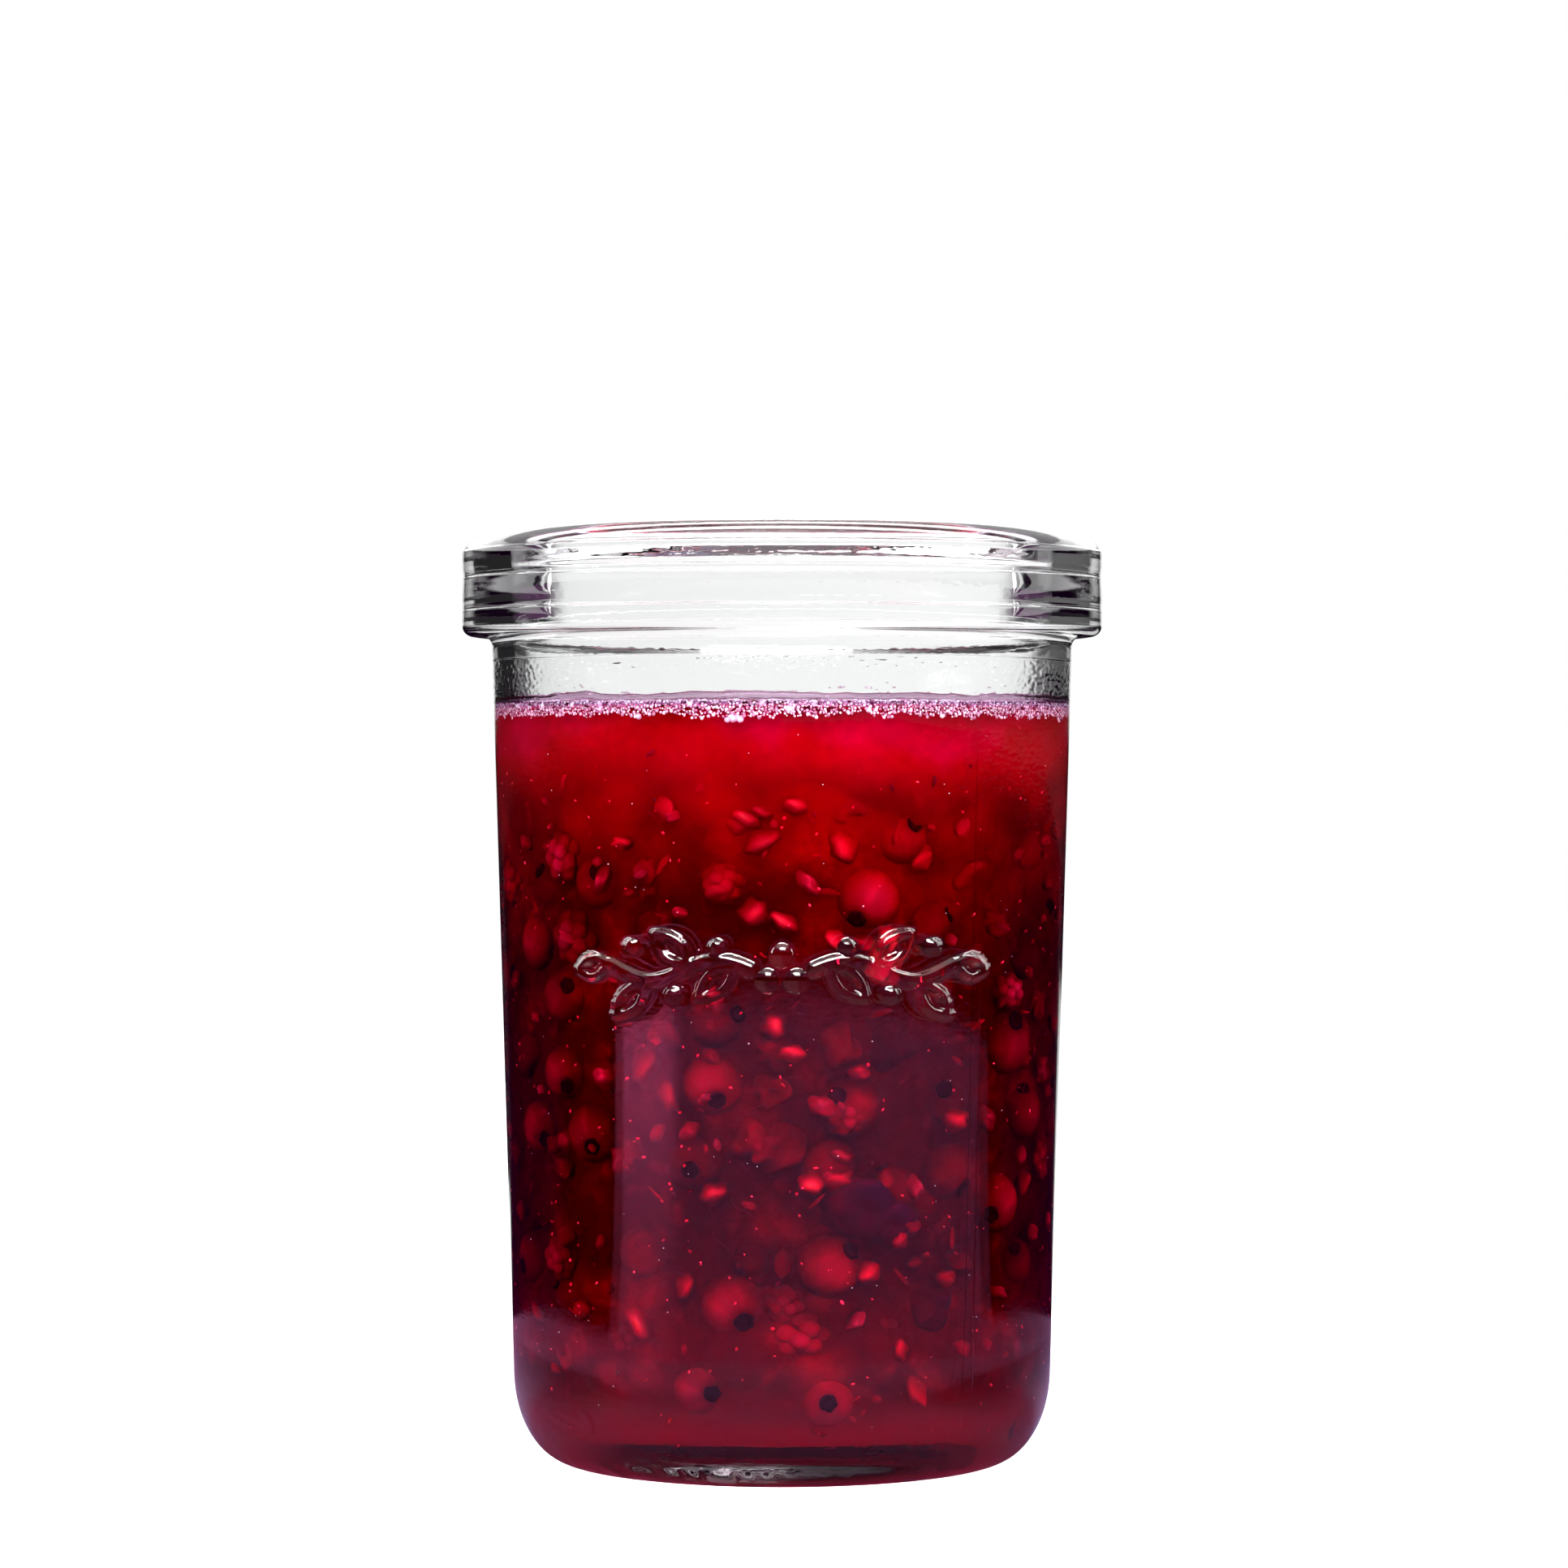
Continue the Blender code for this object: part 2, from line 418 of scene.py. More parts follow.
OUT_REACH, OUT_TURN = (0.20, 0.30), (160.0, 172.0)  # what the base lets out, far behind the jar
STEEP = (0.045, 0.060)  # how much longer than its reach a ray is, if it falls steeply
PLAIN_REACH = (0.13, 0.22)  # from here on the glass shows the table as it is
print("the lit table ends", TABLE_REACH[0], "m in front of the jar")

# %% Floor
half = FLOOR_SIZE / 2
corners = [(-half, -half), (half, -half), (half, half), (-half, half)]
floor = add_object("floor", bpy.data.meshes.new("floor"))
floor.data.from_pydata([(x, y, -FLOOR_DROP) for x, y in corners], [], [(0, 1, 2, 3)])
floor_material, tree, shader, output = new_material("pale_floor", {
    "Roughness": 0.9, "Specular IOR Level": 0.0, "Emission Color": (1, 1, 1),
})
spot = parts_of(place(tree))
reach = length_of(place(tree))
front = math_node("ARCTAN2", spot[0], spot[1] * -1.0) * DEGREES
turned = abs(front)
rays, mirrored, through = ray_kinds(tree)
rounded = reach * ramp(turned, *ROUNDER_TURN, 1.0, ROUNDER)
near = fade(rounded, *TABLE_NEAR)
ahead = ramp(front, TABLE_LEFT - 1, TABLE_LEFT + 1)
ahead = ahead * fade(front, TABLE_RIGHT - 1, TABLE_RIGHT + 1) * fade(reach, *TABLE_REACH)
left = fade(front, *LEFT_EDGE) * ramp(reach, *LEFT_REACH, LEFT_FIRST, 1.0)
tint, left_tint, close_tint = [
    [brightness * part for part in colour]
    for brightness, colour in ((TABLE_FAR, TABLE_TINT), (TABLE_FAR, LEFT_TINT),
                               (TABLE_CLOSE, CLOSE_TINT))
]
hidden = mix_colour(left, tint, left_tint)
hidden = mix_colour(1.0, hidden, highest(near, ahead), "MULTIPLY")
hidden = mix_colour(ramp(turned, *BESIDE_TURN) * (1.0 - near), hidden, BESIDE)

# light by the jar: a small pool all round, and a wide one at the sides and behind
wide = ramp(reach, *WIDE_REACH, *WIDE) * fade(rounded, *TABLE_NEAR) * ramp(turned, *WIDE_TURN)
close = highest(ramp(reach, *POOL_REACH, POOL, 0.0), wide)
hidden = mix_colour(close, hidden, close_tint)
print("lit table top made")

# %% The table behind and under the jar
# mirrored light sees the table behind, and so does light that came straight through
edge = 180 - BACK_TABLE_EDGE
past = reach / ramp(spot[0], -0.02, 0.02, *BACK_REACH)
behind = ramp(turned, edge - SOFT, edge + SOFT) * fade(past, 0.85, 1.15)
behind = behind * (1.0 - rays["Is Transmission Ray"])
behind = highest(behind, through * ramp(turned, *BEHIND_TURN))
hidden = mix_colour(behind, hidden, BEHIND)
shade = fade(reach, *SHADE_REACH) * ramp(turned, *SHADE_TURN)
hidden = mix_colour(shade, hidden, mix_colour(rays["Is Reflection Ray"], SHADE, MIRRORED_SHADE))
hidden = mix_colour(fade(reach, *UNDER_REACH), hidden, UNDER)

# light that the base has mirrored and let out again sees the pale table far behind, and the one
# right under the jar where it falls steeply
out = rays["Is Transmission Ray"] * mirrored * ramp(reach, *OUT_REACH) * ramp(turned, *OUT_TURN)
steep = ramp(rays["Ray Length"] - reach, *STEEP) * rays["Is Transmission Ray"]
hidden = mix_colour(highest(out, steep * mirrored), hidden, BEHIND)
scattered = lowest(rays["Diffuse Depth"], 1.0)
hidden = mix_colour(scattered, hidden, SCATTERED)

# light that came straight through the glass sees the pale table as it is, but for the sides
plain = highest(fade(turned, *BESIDE_TURN), ramp(turned, *BEHIND_TURN))
plain = plain * ramp(reach, *PLAIN_REACH) * through
seen = highest(rays["Is Camera Ray"], plain)
fill(shader, {"Base Color": mix_colour(seen, hidden, SEEN), "Emission Strength": seen * SEEN_GLOW})
floor.data.materials.append(floor_material)
floor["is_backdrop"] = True
print("table laid")

# %% Lamps


def area_lamp(name, place_at, aim_at, size, watts):
    lamp = add_object(name, bpy.data.lights.new(name, "AREA"))
    lamp.data.shape = "RECTANGLE"
    lamp.data.size, lamp.data.size_y = size
    lamp.data.energy = watts
    lamp.location = place_at
    lamp.rotation_euler = (Vector(aim_at) - Vector(place_at)).to_track_quat("-Z", "Y").to_euler()
    return lamp


area_lamp("key", (0.12, -0.85, 1.05), (0, 0, 0.07), (0.9, 0.55), 24.0)
for side, watts in ((-1, 13.0), (1, 12.0)):
    beside = area_lamp("fill", (side * 0.85, -0.45, 0.6), (0, 0, 0.08), (0.5, 0.5), watts)
    beside.visible_glossy = False
    beside.visible_transmission = False
glints = area_lamp("glints", (0.0, -0.70, 1.10), (0, 0, 0.075), (0.9, 0.20), 60.0)
glints.visible_diffuse = False
print("floor and lamps set")

# %% [markdown]
# ## A lathe
# The jar, the syrup in it and the murky middle are all turned shapes. One Geometry Nodes tree turns
# them all: it lays a grid round the axis, one row for each point of an outline. It can crowd its
# columns towards the front, where the glass has its raised sprig.

# %% Points of an outline


def quarter(centre, width, height, steps, from_angle, to_angle, exponent=2.0):
    """Points on a quarter of a superellipse, the first and the last included."""
    points = []
    for i in range(steps + 1):
        angle = math.radians(from_angle + (to_angle - from_angle) * i / steps)
        across, up = math.cos(angle), math.sin(angle)
        points.append((
            centre[0] + width * math.copysign(abs(across) ** (2 / exponent), across),
            centre[1] + height * math.copysign(abs(up) ** (2 / exponent), up),
        ))
    return points


def straight(start, end, step):
    """Points from start towards end, about a step apart, with the start left out."""
    count = max(1, round(math.dist(start, end) / step))
    return [
        (start[0] + (end[0] - start[0]) * i / count, start[1] + (end[1] - start[1]) * i / count)
        for i in range(1, count + 1)
    ]


print("a quarter circle in 4 steps has", len(quarter((0, 0), 1, 1, 4, 0, 90)), "points")

# %% The lathe tree


def geometry_tree(name, sockets):
    """An empty geometry tree with a Geometry output and the named inputs."""
    tree = bpy.data.node_groups.new(name, "GeometryNodeTree")
    tree.interface.new_socket("Geometry", in_out="OUTPUT", socket_type="NodeSocketGeometry")
    for label, kind in sockets:
        tree.interface.new_socket(label, in_out="INPUT", socket_type=f"NodeSocket{kind}")
    return tree, node(tree, "NodeGroupInput", out="all")


def finish_tree(tree, made, material):
    """The end of each geometry tree: real faces, with their material."""
    made = node(tree, "GeometryNodeRealizeInstances", {"Geometry": made})
    made = node(tree, "GeometryNodeSetMaterial", {"Geometry": made, "Material": material})
    node(tree, "NodeGroupOutput", {0: made}, out=None)


def lathe_tree():
    tree, given = geometry_tree("lathe", (
        ("Outline", "Object"), ("Sides", "Int"), ("Front Crowding", "Float"),
        ("Material", "Material"),
    ))
    outline = node(tree, "GeometryNodeObjectInfo", {0: given["Outline"]}, out="Geometry")
    rows = node(tree, "GeometryNodeAttributeDomainSize", {0: outline}, out="Point Count")
    columns = given["Sides"] + 1.0
    grid = node(tree, "GeometryNodeMeshGrid", {
        "Size X": 1.0, "Size Y": 1.0, "Vertices X": rows, "Vertices Y": columns,
    })
    index = node(tree, "GeometryNodeInputIndex")
    row = math_node("FLOOR", (index + 0.5) / columns)
    turn = (index - row * columns) / given["Sides"] * math.tau
    turn = turn + math_node("SINE", turn) * given["Front Crowding"]
    radius, _, height = parts_of(node(tree, "GeometryNodeSampleIndex", {
        "Geometry": outline, "Value": node(tree, "GeometryNodeInputPosition"), "Index": row,
    }, data_type="FLOAT_VECTOR"))
    spot = node(tree, "ShaderNodeCombineXYZ", {
        0: radius * math_node("SINE", turn), 1: radius * math_node("COSINE", turn), 2: height,
    })
    shell = node(tree, "GeometryNodeSetPosition", {"Geometry": grid, "Position": spot})
    shell = node(tree, "GeometryNodeMergeByDistance", {"Geometry": shell, "Distance": 1e-6})
    finish_tree(tree, shell, given["Material"])
    return tree


LATHE = lathe_tree()


print("lathe tree ready")

# %% Run a tree and turn a piece


def run_tree(name, tree, values):
    """Runs a geometry tree with the named values and keeps what it makes as a plain mesh."""
    host = add_object(name, bpy.data.meshes.new(name))
    modifier = host.modifiers.new("make", "NODES")
    modifier.node_group = tree
    for item in tree.interface.items_tree:
        if item.in_out == "INPUT":
            modifier[item.identifier] = values[item.name]
    seen_at = bpy.context.evaluated_depsgraph_get()
    mesh = bpy.data.meshes.new_from_object(host.evaluated_get(seen_at))
    host.modifiers.remove(modifier)
    host.data = mesh
    mesh.name = name
    return host


def face_outwards(piece):
    """Turns a closed mesh's faces to point out."""
    shape = bmesh.new()
    shape.from_mesh(piece.data)
    bmesh.ops.recalc_face_normals(shape, faces=shape.faces[:])
    if shape.calc_volume(signed=True) < 0:
        bmesh.ops.reverse_faces(shape, faces=shape.faces[:])
    shape.to_mesh(piece.data)
    volume = shape.calc_volume()
    shape.free()
    piece.data.shade_smooth()
    return volume


def turn_on_lathe(name, outline, sides, material, crowding=0.0):
    """A closed turned piece from its outline, drawn as (radius, height) points."""
    mesh = bpy.data.meshes.new(name + "_outline")
    edges = [(i, i + 1) for i in range(len(outline) - 1)]
    mesh.from_pydata([(radius, 0, z) for radius, z in outline], edges, [])
    guide = add_object(name + "_outline", mesh)
    piece = run_tree(name, LATHE, {
        "Outline": guide, "Sides": sides, "Front Crowding": crowding, "Material": material,
    })
    bpy.data.objects.remove(guide)
    volume = face_outwards(piece)
    print(name, "has", len(piece.data.polygons), "faces and holds", round(volume * 1e6, 1), "ml")
    return piece


print("lathe ready")

# %% [markdown]
# ## Glass
# Pressed jar glass is clear. Close to, it has an orange-peel ripple that breaks up the edges of its
# reflections, faint streaks round the rim, and two thin mould seams opposite each other. All of these
# are too shallow to be seen in the outline, so they are bumps. The wall below the level is wetted by
# the syrup. There glass and syrup are so alike that the inner face hardly reflects: a second material,
# without its own shine, covers that part.

# %% Glass materials
SEAM_TURN = 43.0  # degrees round from the front, with its twin opposite
SEAM_WIDTH, SEAM_HEIGHT = 0.0045, 0.05 * MM  # the width in radians
MOULD_RINGS = ((119.8, 0.015), (127.0, 0.04), (131.9, 0.04))  # height and depth of faint rings, mm
RING_WIDTH = 0.16 * MM
SEAM_LOW, SEAM_HIGH = (0.010, 0.016), (0.104, 0.112)  # from here on, the heights are in metres
RIM_FROM, NECK_FROM, NECK_TO = (0.119, 0.124), (0.109, 0.117), (0.1180, 0.1202)
FOOT_TO, FOOT_ACROSS = (0.0015, 0.0030), (-0.012, 0.008)
BODY_SHARE, RIM_SHARE = 0.12, 0.10  # of the neck's ripple


def glass(name, shine):
    material, tree, shader, output = new_material(name, {
        "Base Color": (0.985, 0.992, 0.99), "Transmission Weight": 1.0, "IOR": 1.5,
        "Specular IOR Level": shine, "Roughness": 0.0,
    })
    x, y, height = parts_of(place(tree))
    turn = math_node("ARCTAN2", x, y * -1.0)
    off_seam = abs(math_node("SINE", turn - math.radians(SEAM_TURN)))
    seam_part = ramp(height, *SEAM_LOW) * fade(height, *SEAM_HIGH)
    uneven = fade(off_seam, 0.0, SEAM_WIDTH) * seam_part * SEAM_HEIGHT
    for ring_at, depth in MOULD_RINGS:
        away = abs(height - ring_at * MM)
        uneven = uneven + ramp(away, 0.0, RING_WIDTH, depth * MM, 0.0)
    rim_part = ramp(height, *RIM_FROM)
    neck_part = ramp(height, *NECK_FROM, BODY_SHARE, 1.0) * ramp(height, *NECK_TO, 1.0, RIM_SHARE)
    foot_part = fade(height, *FOOT_TO) * fade(x, *FOOT_ACROSS)
    streaks = noise_pattern(place(tree, (9, 9, 420)), 1.0, 1.0, 0.6)
    swell = noise_pattern(place(tree), 170.0, 0.0)
    ripple = noise_pattern(place(tree, (1, 1, 1.8)), 900.0, 0.0)
    contours = math_node("SINE", noise_pattern(place(tree, (60, 60, 30)), 1.0, 0.0) * 60.0)
    for wave, share, high in ((streaks, rim_part, 0.06), (swell, neck_part, 0.03),
                              (ripple, neck_part, 0.03), (contours, foot_part, 0.08)):
        uneven = uneven + wave * (share * (high * MM))
    fill(shader, {"Normal": node(tree, "ShaderNodeBump", {
        "Height": uneven, "Strength": 1.0, "Distance": 1.0,
    })})
    let_lamps_through(tree, shader, output, (0.96, 0.97, 0.97))
    return material


clear_glass = glass("clear_glass", 0.5)
wetted_glass = glass("wetted_glass", 0.0)
print("glass materials made")

# %% The inside of the jar


def cavity(inset, top, step):
    """The inside of the jar from the middle of its floor up to top, drawn in by inset."""
    heel_top = FLOOR + INNER_HEEL
    floor_z = FLOOR + inset
    points = [(0.0, floor_z + FLOOR_RISE)]
    for i in range(1, 6):
        share = i / 5
        points.append((FLOOR_RADIUS * share, floor_z + FLOOR_RISE * (1 - share * share)))
    points += quarter(
        (FLOOR_RADIUS, heel_top), inner_radius(heel_top) - inset - FLOOR_RADIUS,
        heel_top - floor_z, 18, -90, 0,
    )[1:]
    points += straight(points[-1], (inner_radius(top) - inset, top), step)
    return points


print("the inside has", len(cavity(0.0, NECK_START, 6 * MM)), "points up to the neck")

# %% The jar's outline
RELIEF_LOW, RELIEF_HIGH = 67 * MM, 82 * MM
RIM_WAVES = (  # the rim's side is not quite straight: height and how far it stands back, in mm
    (135.0, 0.00), (133.6, 0.02), (133.2, 0.06), (132.9, 0.13), (132.6, 0.17), (132.2, 0.17),
    (131.2, 0.13), (130.2, 0.07), (129.4, 0.02), (128.6, 0.02), (128.0, 0.05), (127.6, 0.06),
    (127.1, 0.04), (126.2, 0.00),
)


def jar_outline():
    """Up the inside, over the lip and down the outside, with close rows where the sprig lies."""
    points = cavity(0.0, NECK_START, 6 * MM)
    points += straight(points[-1], (NECK_RADIUS, LIP_START), 3 * MM)
    points += quarter(
        (CREST_RADIUS, LIP_START), CREST_RADIUS - NECK_RADIUS, RIM_TOP - LIP_START, 14, 180, 90,
    )[1:]
    points += quarter(
        (CREST_RADIUS, RIM_EDGE), RIM_RADIUS - RIM_EDGE_STEP - CREST_RADIUS,
        RIM_TOP - RIM_EDGE, 16, 90, 0, LIP_EXPONENT,
    )[1:]
    points += quarter(
        (RIM_RADIUS - RIM_EDGE_STEP, RIM_EDGE - RIM_EDGE_STEP), RIM_EDGE_STEP, RIM_EDGE_STEP,
        3, 90, 0,
    )[1:]
    for z, inward in RIM_WAVES:
        points.append((RIM_RADIUS - inward * MM, z * MM))
    points.append((RIM_RADIUS, RIM_UNDERSIDE + RIM_CORNER))
    points += quarter(
        (RIM_RADIUS - RIM_CORNER, RIM_UNDERSIDE + RIM_CORNER), RIM_CORNER, RIM_CORNER, 6, 0, -90,
    )[1:]
    fillet = RIM_UNDERSIDE - BODY_HIGH
    points += quarter(
        (BODY_HIGH_RADIUS + fillet, BODY_HIGH), fillet, fillet, 6, 90, 180,
    )
    for low, step in ((RELIEF_HIGH, 5 * MM), (RELIEF_LOW, 0.28 * MM), (HEEL_HEIGHT, 5 * MM)):
        points += straight(points[-1], (outer_radius(low), low), step)
    points += quarter(
        (FOOT_RADIUS, HEEL_HEIGHT), BODY_LOW_RADIUS - FOOT_RADIUS, HEEL_HEIGHT, 20, 0, -90,
    )[1:]
    points += straight(points[-1], (FOOT_INNER_RADIUS, 0.0), 0.9 * MM)
    for i in range(1, 9):
        share = 1 - i / 8
        points.append((FOOT_INNER_RADIUS * share, PUSH_UP * (1 - share**2)))
    return points


print("the whole outline has", len(jar_outline()), "points")

# %% Glass jar
jar = turn_on_lathe("jar_glass", jar_outline(), 360, clear_glass, 0.7)
jar.data.materials.append(wetted_glass)
for face in jar.data.polygons:
    centre = face.center
    across = math.hypot(centre.x, centre.y)
    inside = across < inner_radius(centre.z) + 1 * MM and centre.z > 3 * MM
    if inside and centre.z < LEVEL - 0.3 * MM:
        face.material_index = 1

# %% [markdown]
# ## Raised sprig
# The front of such a jar has a raised ornament, pressed with the glass. Here it is a plain sprig of
# leaves and berries that runs both ways from the middle. It is made by moving the points of the
# finished wall outwards: each leaf, stem and berry is a rounded hill over the flat band, and a point
# takes the highest hill that it lies under. Real relief like this has to be geometry, not a bump,
# because its rounded sides bend the light and catch the glints.

# %% Hills and leaves
RELIEF = 1.0 * MM
SPRIG_MIDDLE, SPRIG_END = 74.7, 32.0  # mm above the table, and mm to either side
STROKE, BERRY, MIDDLE_BERRY = 1.2, 1.35, 1.75  # half widths in mm
LEAF, LEAF_WIDTH, END_LEAF_WIDTH = 0.85, 1.5, 1.35
STEM_WAVE, STEM_LENGTH = 1.5, 3.3  # how far the stem swings, and over what length
STEM_START, STEM_END = 4.6, 27.0
LEAVES_AT = (7.0, 13.6, 20.2)
LEAF_STEPS = np.linspace(0.0, 1.0, 9)


def hill(spots, way, half_width):
    """A rounded ridge along a way of (mm across, mm up) points."""
    height = np.zeros(len(spots))
    for start, end in zip(way, way[1:]):
        start, along = np.array(start), np.array(end) - np.array(start)
        if along @ along < 1e-9:
            continue
        share = np.clip(((spots - start) @ along) / (along @ along), 0.0, 1.0)
        away = np.linalg.norm(spots - start - share[:, None] * along, axis=1)
        height = np.maximum(height, np.clip(1 - (away / half_width) ** 2, 0.0, 1.0) ** 0.7)
    return height


def leaf_way(root, tip, width):
    """The outline of a leaf: out along one side and back along the other."""
    root, tip = np.array(root), np.array(tip)
    across = np.array((-(tip - root)[1], (tip - root)[0])) / np.linalg.norm(tip - root)
    along = [root + (tip - root) * t for t in LEAF_STEPS]
    bulge = [across * width * math.sin(math.pi * t) for t in LEAF_STEPS]
    there = [point + push for point, push in zip(along, bulge)]
    back = [point - push for point, push in zip(along, bulge)]
    return [tuple(point) for point in there + back[::-1]]



print("hills and leaves ready")

# %% The whole sprig


def stem_height(x):
    """The stem's wave, at a distance from the middle of the sprig."""
    return STEM_WAVE * math.sin((x - 4.0) / STEM_LENGTH)


def sprig(spots):
    """Height of the sprig, from 0 to 1, at spots in mm from its middle."""
    height = np.zeros(len(spots))
    for x, y in ((0.0, 2.3), (-2.1, -1.3), (2.1, -1.3)):
        height = np.maximum(height, hill(spots, [(x, y), (x + 0.01, y)], MIDDLE_BERRY))
    for side in (-1, 1):
        stem = [(side * x, stem_height(x)) for x in np.arange(STEM_START, STEM_END, 0.7)]
        height = np.maximum(height, 0.9 * hill(spots, stem, STROKE))
        for i, x in enumerate(LEAVES_AT):
            up = -1 if i % 2 == 0 else 1
            root = (side * x, stem_height(x) + 0.6 * up)
            tip = (side * (x + 5.0), root[1] + 4.4 * up)
            height = np.maximum(height, hill(spots, leaf_way(root, tip, LEAF_WIDTH), LEAF))
            berry = (side * (x + 2.4), -3.4 * up)
            height = np.maximum(height, hill(spots, [berry, (berry[0] + 0.01, berry[1])], BERRY))
        end = (side * 26.6, stem_height(26.6))
        tip = (side * SPRIG_END, end[1] - 1.0)
        height = np.maximum(height, hill(spots, leaf_way(end, tip, END_LEAF_WIDTH), LEAF))
    return height


print("a sprig", 2 * SPRIG_END, "mm wide, middle", SPRIG_MIDDLE, "mm up")


# %% Raise the sprig out of the wall
wall = jar.data
corners = np.empty(len(wall.vertices) * 3)
wall.vertices.foreach_get("co", corners)
corners = corners.reshape(-1, 3)
radius = np.hypot(corners[:, 0], corners[:, 1])
turn = np.arctan2(corners[:, 0], -corners[:, 1])
band = (corners[:, 2] > RELIEF_LOW) & (corners[:, 2] < RELIEF_HIGH)
band &= (radius > outer_radius(corners[:, 2]) - 1 * MM) & (np.abs(turn) < 1.0)
spots = np.stack((turn[band] * radius[band] / MM, corners[band, 2] / MM - SPRIG_MIDDLE), axis=1)
raised = sprig(spots) * RELIEF
corners[band, :2] *= (1 + raised / radius[band])[:, None]
wall.vertices.foreach_set("co", corners.ravel())
wall.update()
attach(jar, "root")
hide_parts("glass_jar")
print("sprig raised on", int((raised > 0).sum()), "points, up to", round(raised.max() / MM, 2), "mm")

# %% [markdown]
# ## Syrup
# The compote's syrup is a deep red liquid. It is one closed body that reaches a hair into the glass,
# so that no film of air shows between the two, and it soaks up light by depth. Green and blue are gone
# within a millimetre and red fades more slowly, so fruit near the wall is bright and fruit further in
# sinks into the dark. Its open surface is a little uneven. A thin film of syrup clings to the glass
# above it, in an uneven line, and is a piece of its own.

# %% Syrup materials
OVERLAP = 0.06 * MM
SURFACE = LEVEL - 1.15 * MM  # the open surface lies a little lower than the film on the wall
SYRUP_BEND = 1.46
SOAK_COLOUR, SOAK_DENSITY = (0.94, 0.0, 0.55), 1400.0


def syrup_finish(name, shine, soak_colour=SOAK_COLOUR, density=SOAK_DENSITY, lumps=0.0):
    material, tree, shader, output = new_material(name, {
        "Base Color": (1.0, 0.93, 0.95), "Transmission Weight": 1.0, "IOR": SYRUP_BEND,
        "Roughness": 0.0, "Specular IOR Level": shine,
    })
    fill(output, {"Volume": node(tree, "ShaderNodeVolumeAbsorption", {
        "Color": soak_colour, "Density": density,
    })})
    if lumps:
        uneven = noise_pattern(place(tree), 85.0, 3.0) * lumps
        top = ramp(parts_of(place(tree))[2], SURFACE - 0.03 * MM, SURFACE - 0.01 * MM)
        fill(shader, {"Normal": node(tree, "ShaderNodeBump", {
            "Height": uneven, "Distance": 1.0, "Strength": top,
        })})
    let_lamps_through(tree, shader, output)
    return material


syrup_red = syrup_finish("compote_syrup", 0.12, lumps=4.5 * MM)
syrup_on_glass = syrup_finish("syrup_on_glass", 0.0)
film_finish = syrup_finish("syrup_film", 0.2, (0.48, 0.16, 0.46), 2500.0)
print("syrup materials made")

# %% How the film clings
FILM = (  # the film that clings to the wall: how thick, and how far above the level, in mm
    (0.10, 0.60), (0.24, 0.59), (0.36, 0.54), (0.42, 0.46), (0.42, 0.36), (0.34, 0.24),
    (0.28, 0.05), (0.26, -0.30), (0.28, -0.62), (0.36, -0.84), (0.58, -1.00), (0.95, -1.12),
    (1.00, -1.16), (1.00, -1.28), (0.95, -1.30),
)


def climb_the_wall(piece):
    """Lifts the edge of the syrup unevenly, more the higher it clings."""
    for corner in piece.data.vertices:
        if corner.co.z > LEVEL - 2 * MM:
            turn = math.atan2(corner.co.x, -corner.co.y)
            across = math.hypot(corner.co.x, corner.co.y)
            wave = noise.noise(Vector((3.5 * math.sin(turn), 3.5 * math.cos(turn), 1.7)))
            wave += 0.4 * noise.noise(Vector((14 * math.sin(turn), 14 * math.cos(turn), 4.1)))
            climb = max(0.0, (corner.co.z - SURFACE) / (LEVEL - SURFACE))
            corner.co.z += 0.40 * MM * (wave - 0.25) * min(1.0, (across / (36 * MM)) ** 6) * climb


print("the film climbs", max(up for thick, up in FILM), "mm above the level")

# %% Syrup and its film
outline = cavity(-OVERLAP, SURFACE - 0.20 * MM, 4 * MM)
wall_at = outline[-1][0]
outline += [(wall_at, SURFACE - 0.05 * MM), (wall_at, SURFACE), (wall_at - 0.05 * MM, SURFACE),
            (wall_at - 0.20 * MM, SURFACE)]
outline += straight(outline[-1], (0.0, SURFACE), 4 * MM)
syrup = turn_on_lathe("compote_syrup", outline, 300, syrup_red)
syrup.data.materials.append(syrup_on_glass)
for face in syrup.data.polygons:
    across, z = math.hypot(face.center.x, face.center.y), face.center.z
    if across > inner_radius(z) or z < HEEL_HEIGHT + 6 * MM:
        face.material_index = 1
outline = [(wall_at, SURFACE - 0.15 * MM), (wall_at, SURFACE), (wall_at, LEVEL),
           (wall_at, LEVEL + 0.45 * MM), (wall_at, LEVEL + 0.58 * MM)]
outline += [(wall_at - OVERLAP - thick * MM, LEVEL + up * MM) for thick, up in FILM]
outline.append(outline[0])
film = turn_on_lathe("syrup_film", outline, 360, film_finish)
climb_the_wall(film)
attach(film, "root")
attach(syrup, "root")
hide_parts("fruit_compote")

# %% [markdown]
# ## Murky middle
# Real compote is cloudy. Nothing can be seen more than some millimetres deep, only soft blots of light
# and dark where fruit lies behind the cloud. An opaque body a few millimetres behind the wall stands
# for all of that depth. Its colour does the work: painted light makes it bright at the top, where light
# comes in, and at the heel, and painted shade makes the compote's own wine red darker below. It is
# blotched at two sizes. The bright part ends in a soft uneven border, and a faint painted glow
# lights the bottom.

# %% Shader groups


def shader_group(name, takes, gives):
    group = bpy.data.node_groups.new(name, "ShaderNodeTree")
    for in_out, sockets in (("INPUT", takes), ("OUTPUT", gives)):
        for label, kind in sockets:
            group.interface.new_socket(label, in_out=in_out, socket_type=f"NodeSocket{kind}")
    return group, node(group, "NodeGroupInput", out="all")


print("shader groups can be made")

# %% The colour of the cloud
# the cloud's colours: wine red, darker below as painted shade; ruby for blots; painted light at the
# top, where light comes in; the colour under the froth; the dark open top; painted light at the heel
DEEP, RUBY, PAINTED_TOP_LIGHT = (0.048, 0.0, 0.008), (0.18, 0.0002, 0.020), (0.235, 0.0003, 0.011)
PAINTED_HEEL_LIGHT = (0.26, 0.012, 0.060)
UNDER_FROTH, OPEN_TOP = (0.26, 0.0003, 0.062), (0.03, 0.0002, 0.004)


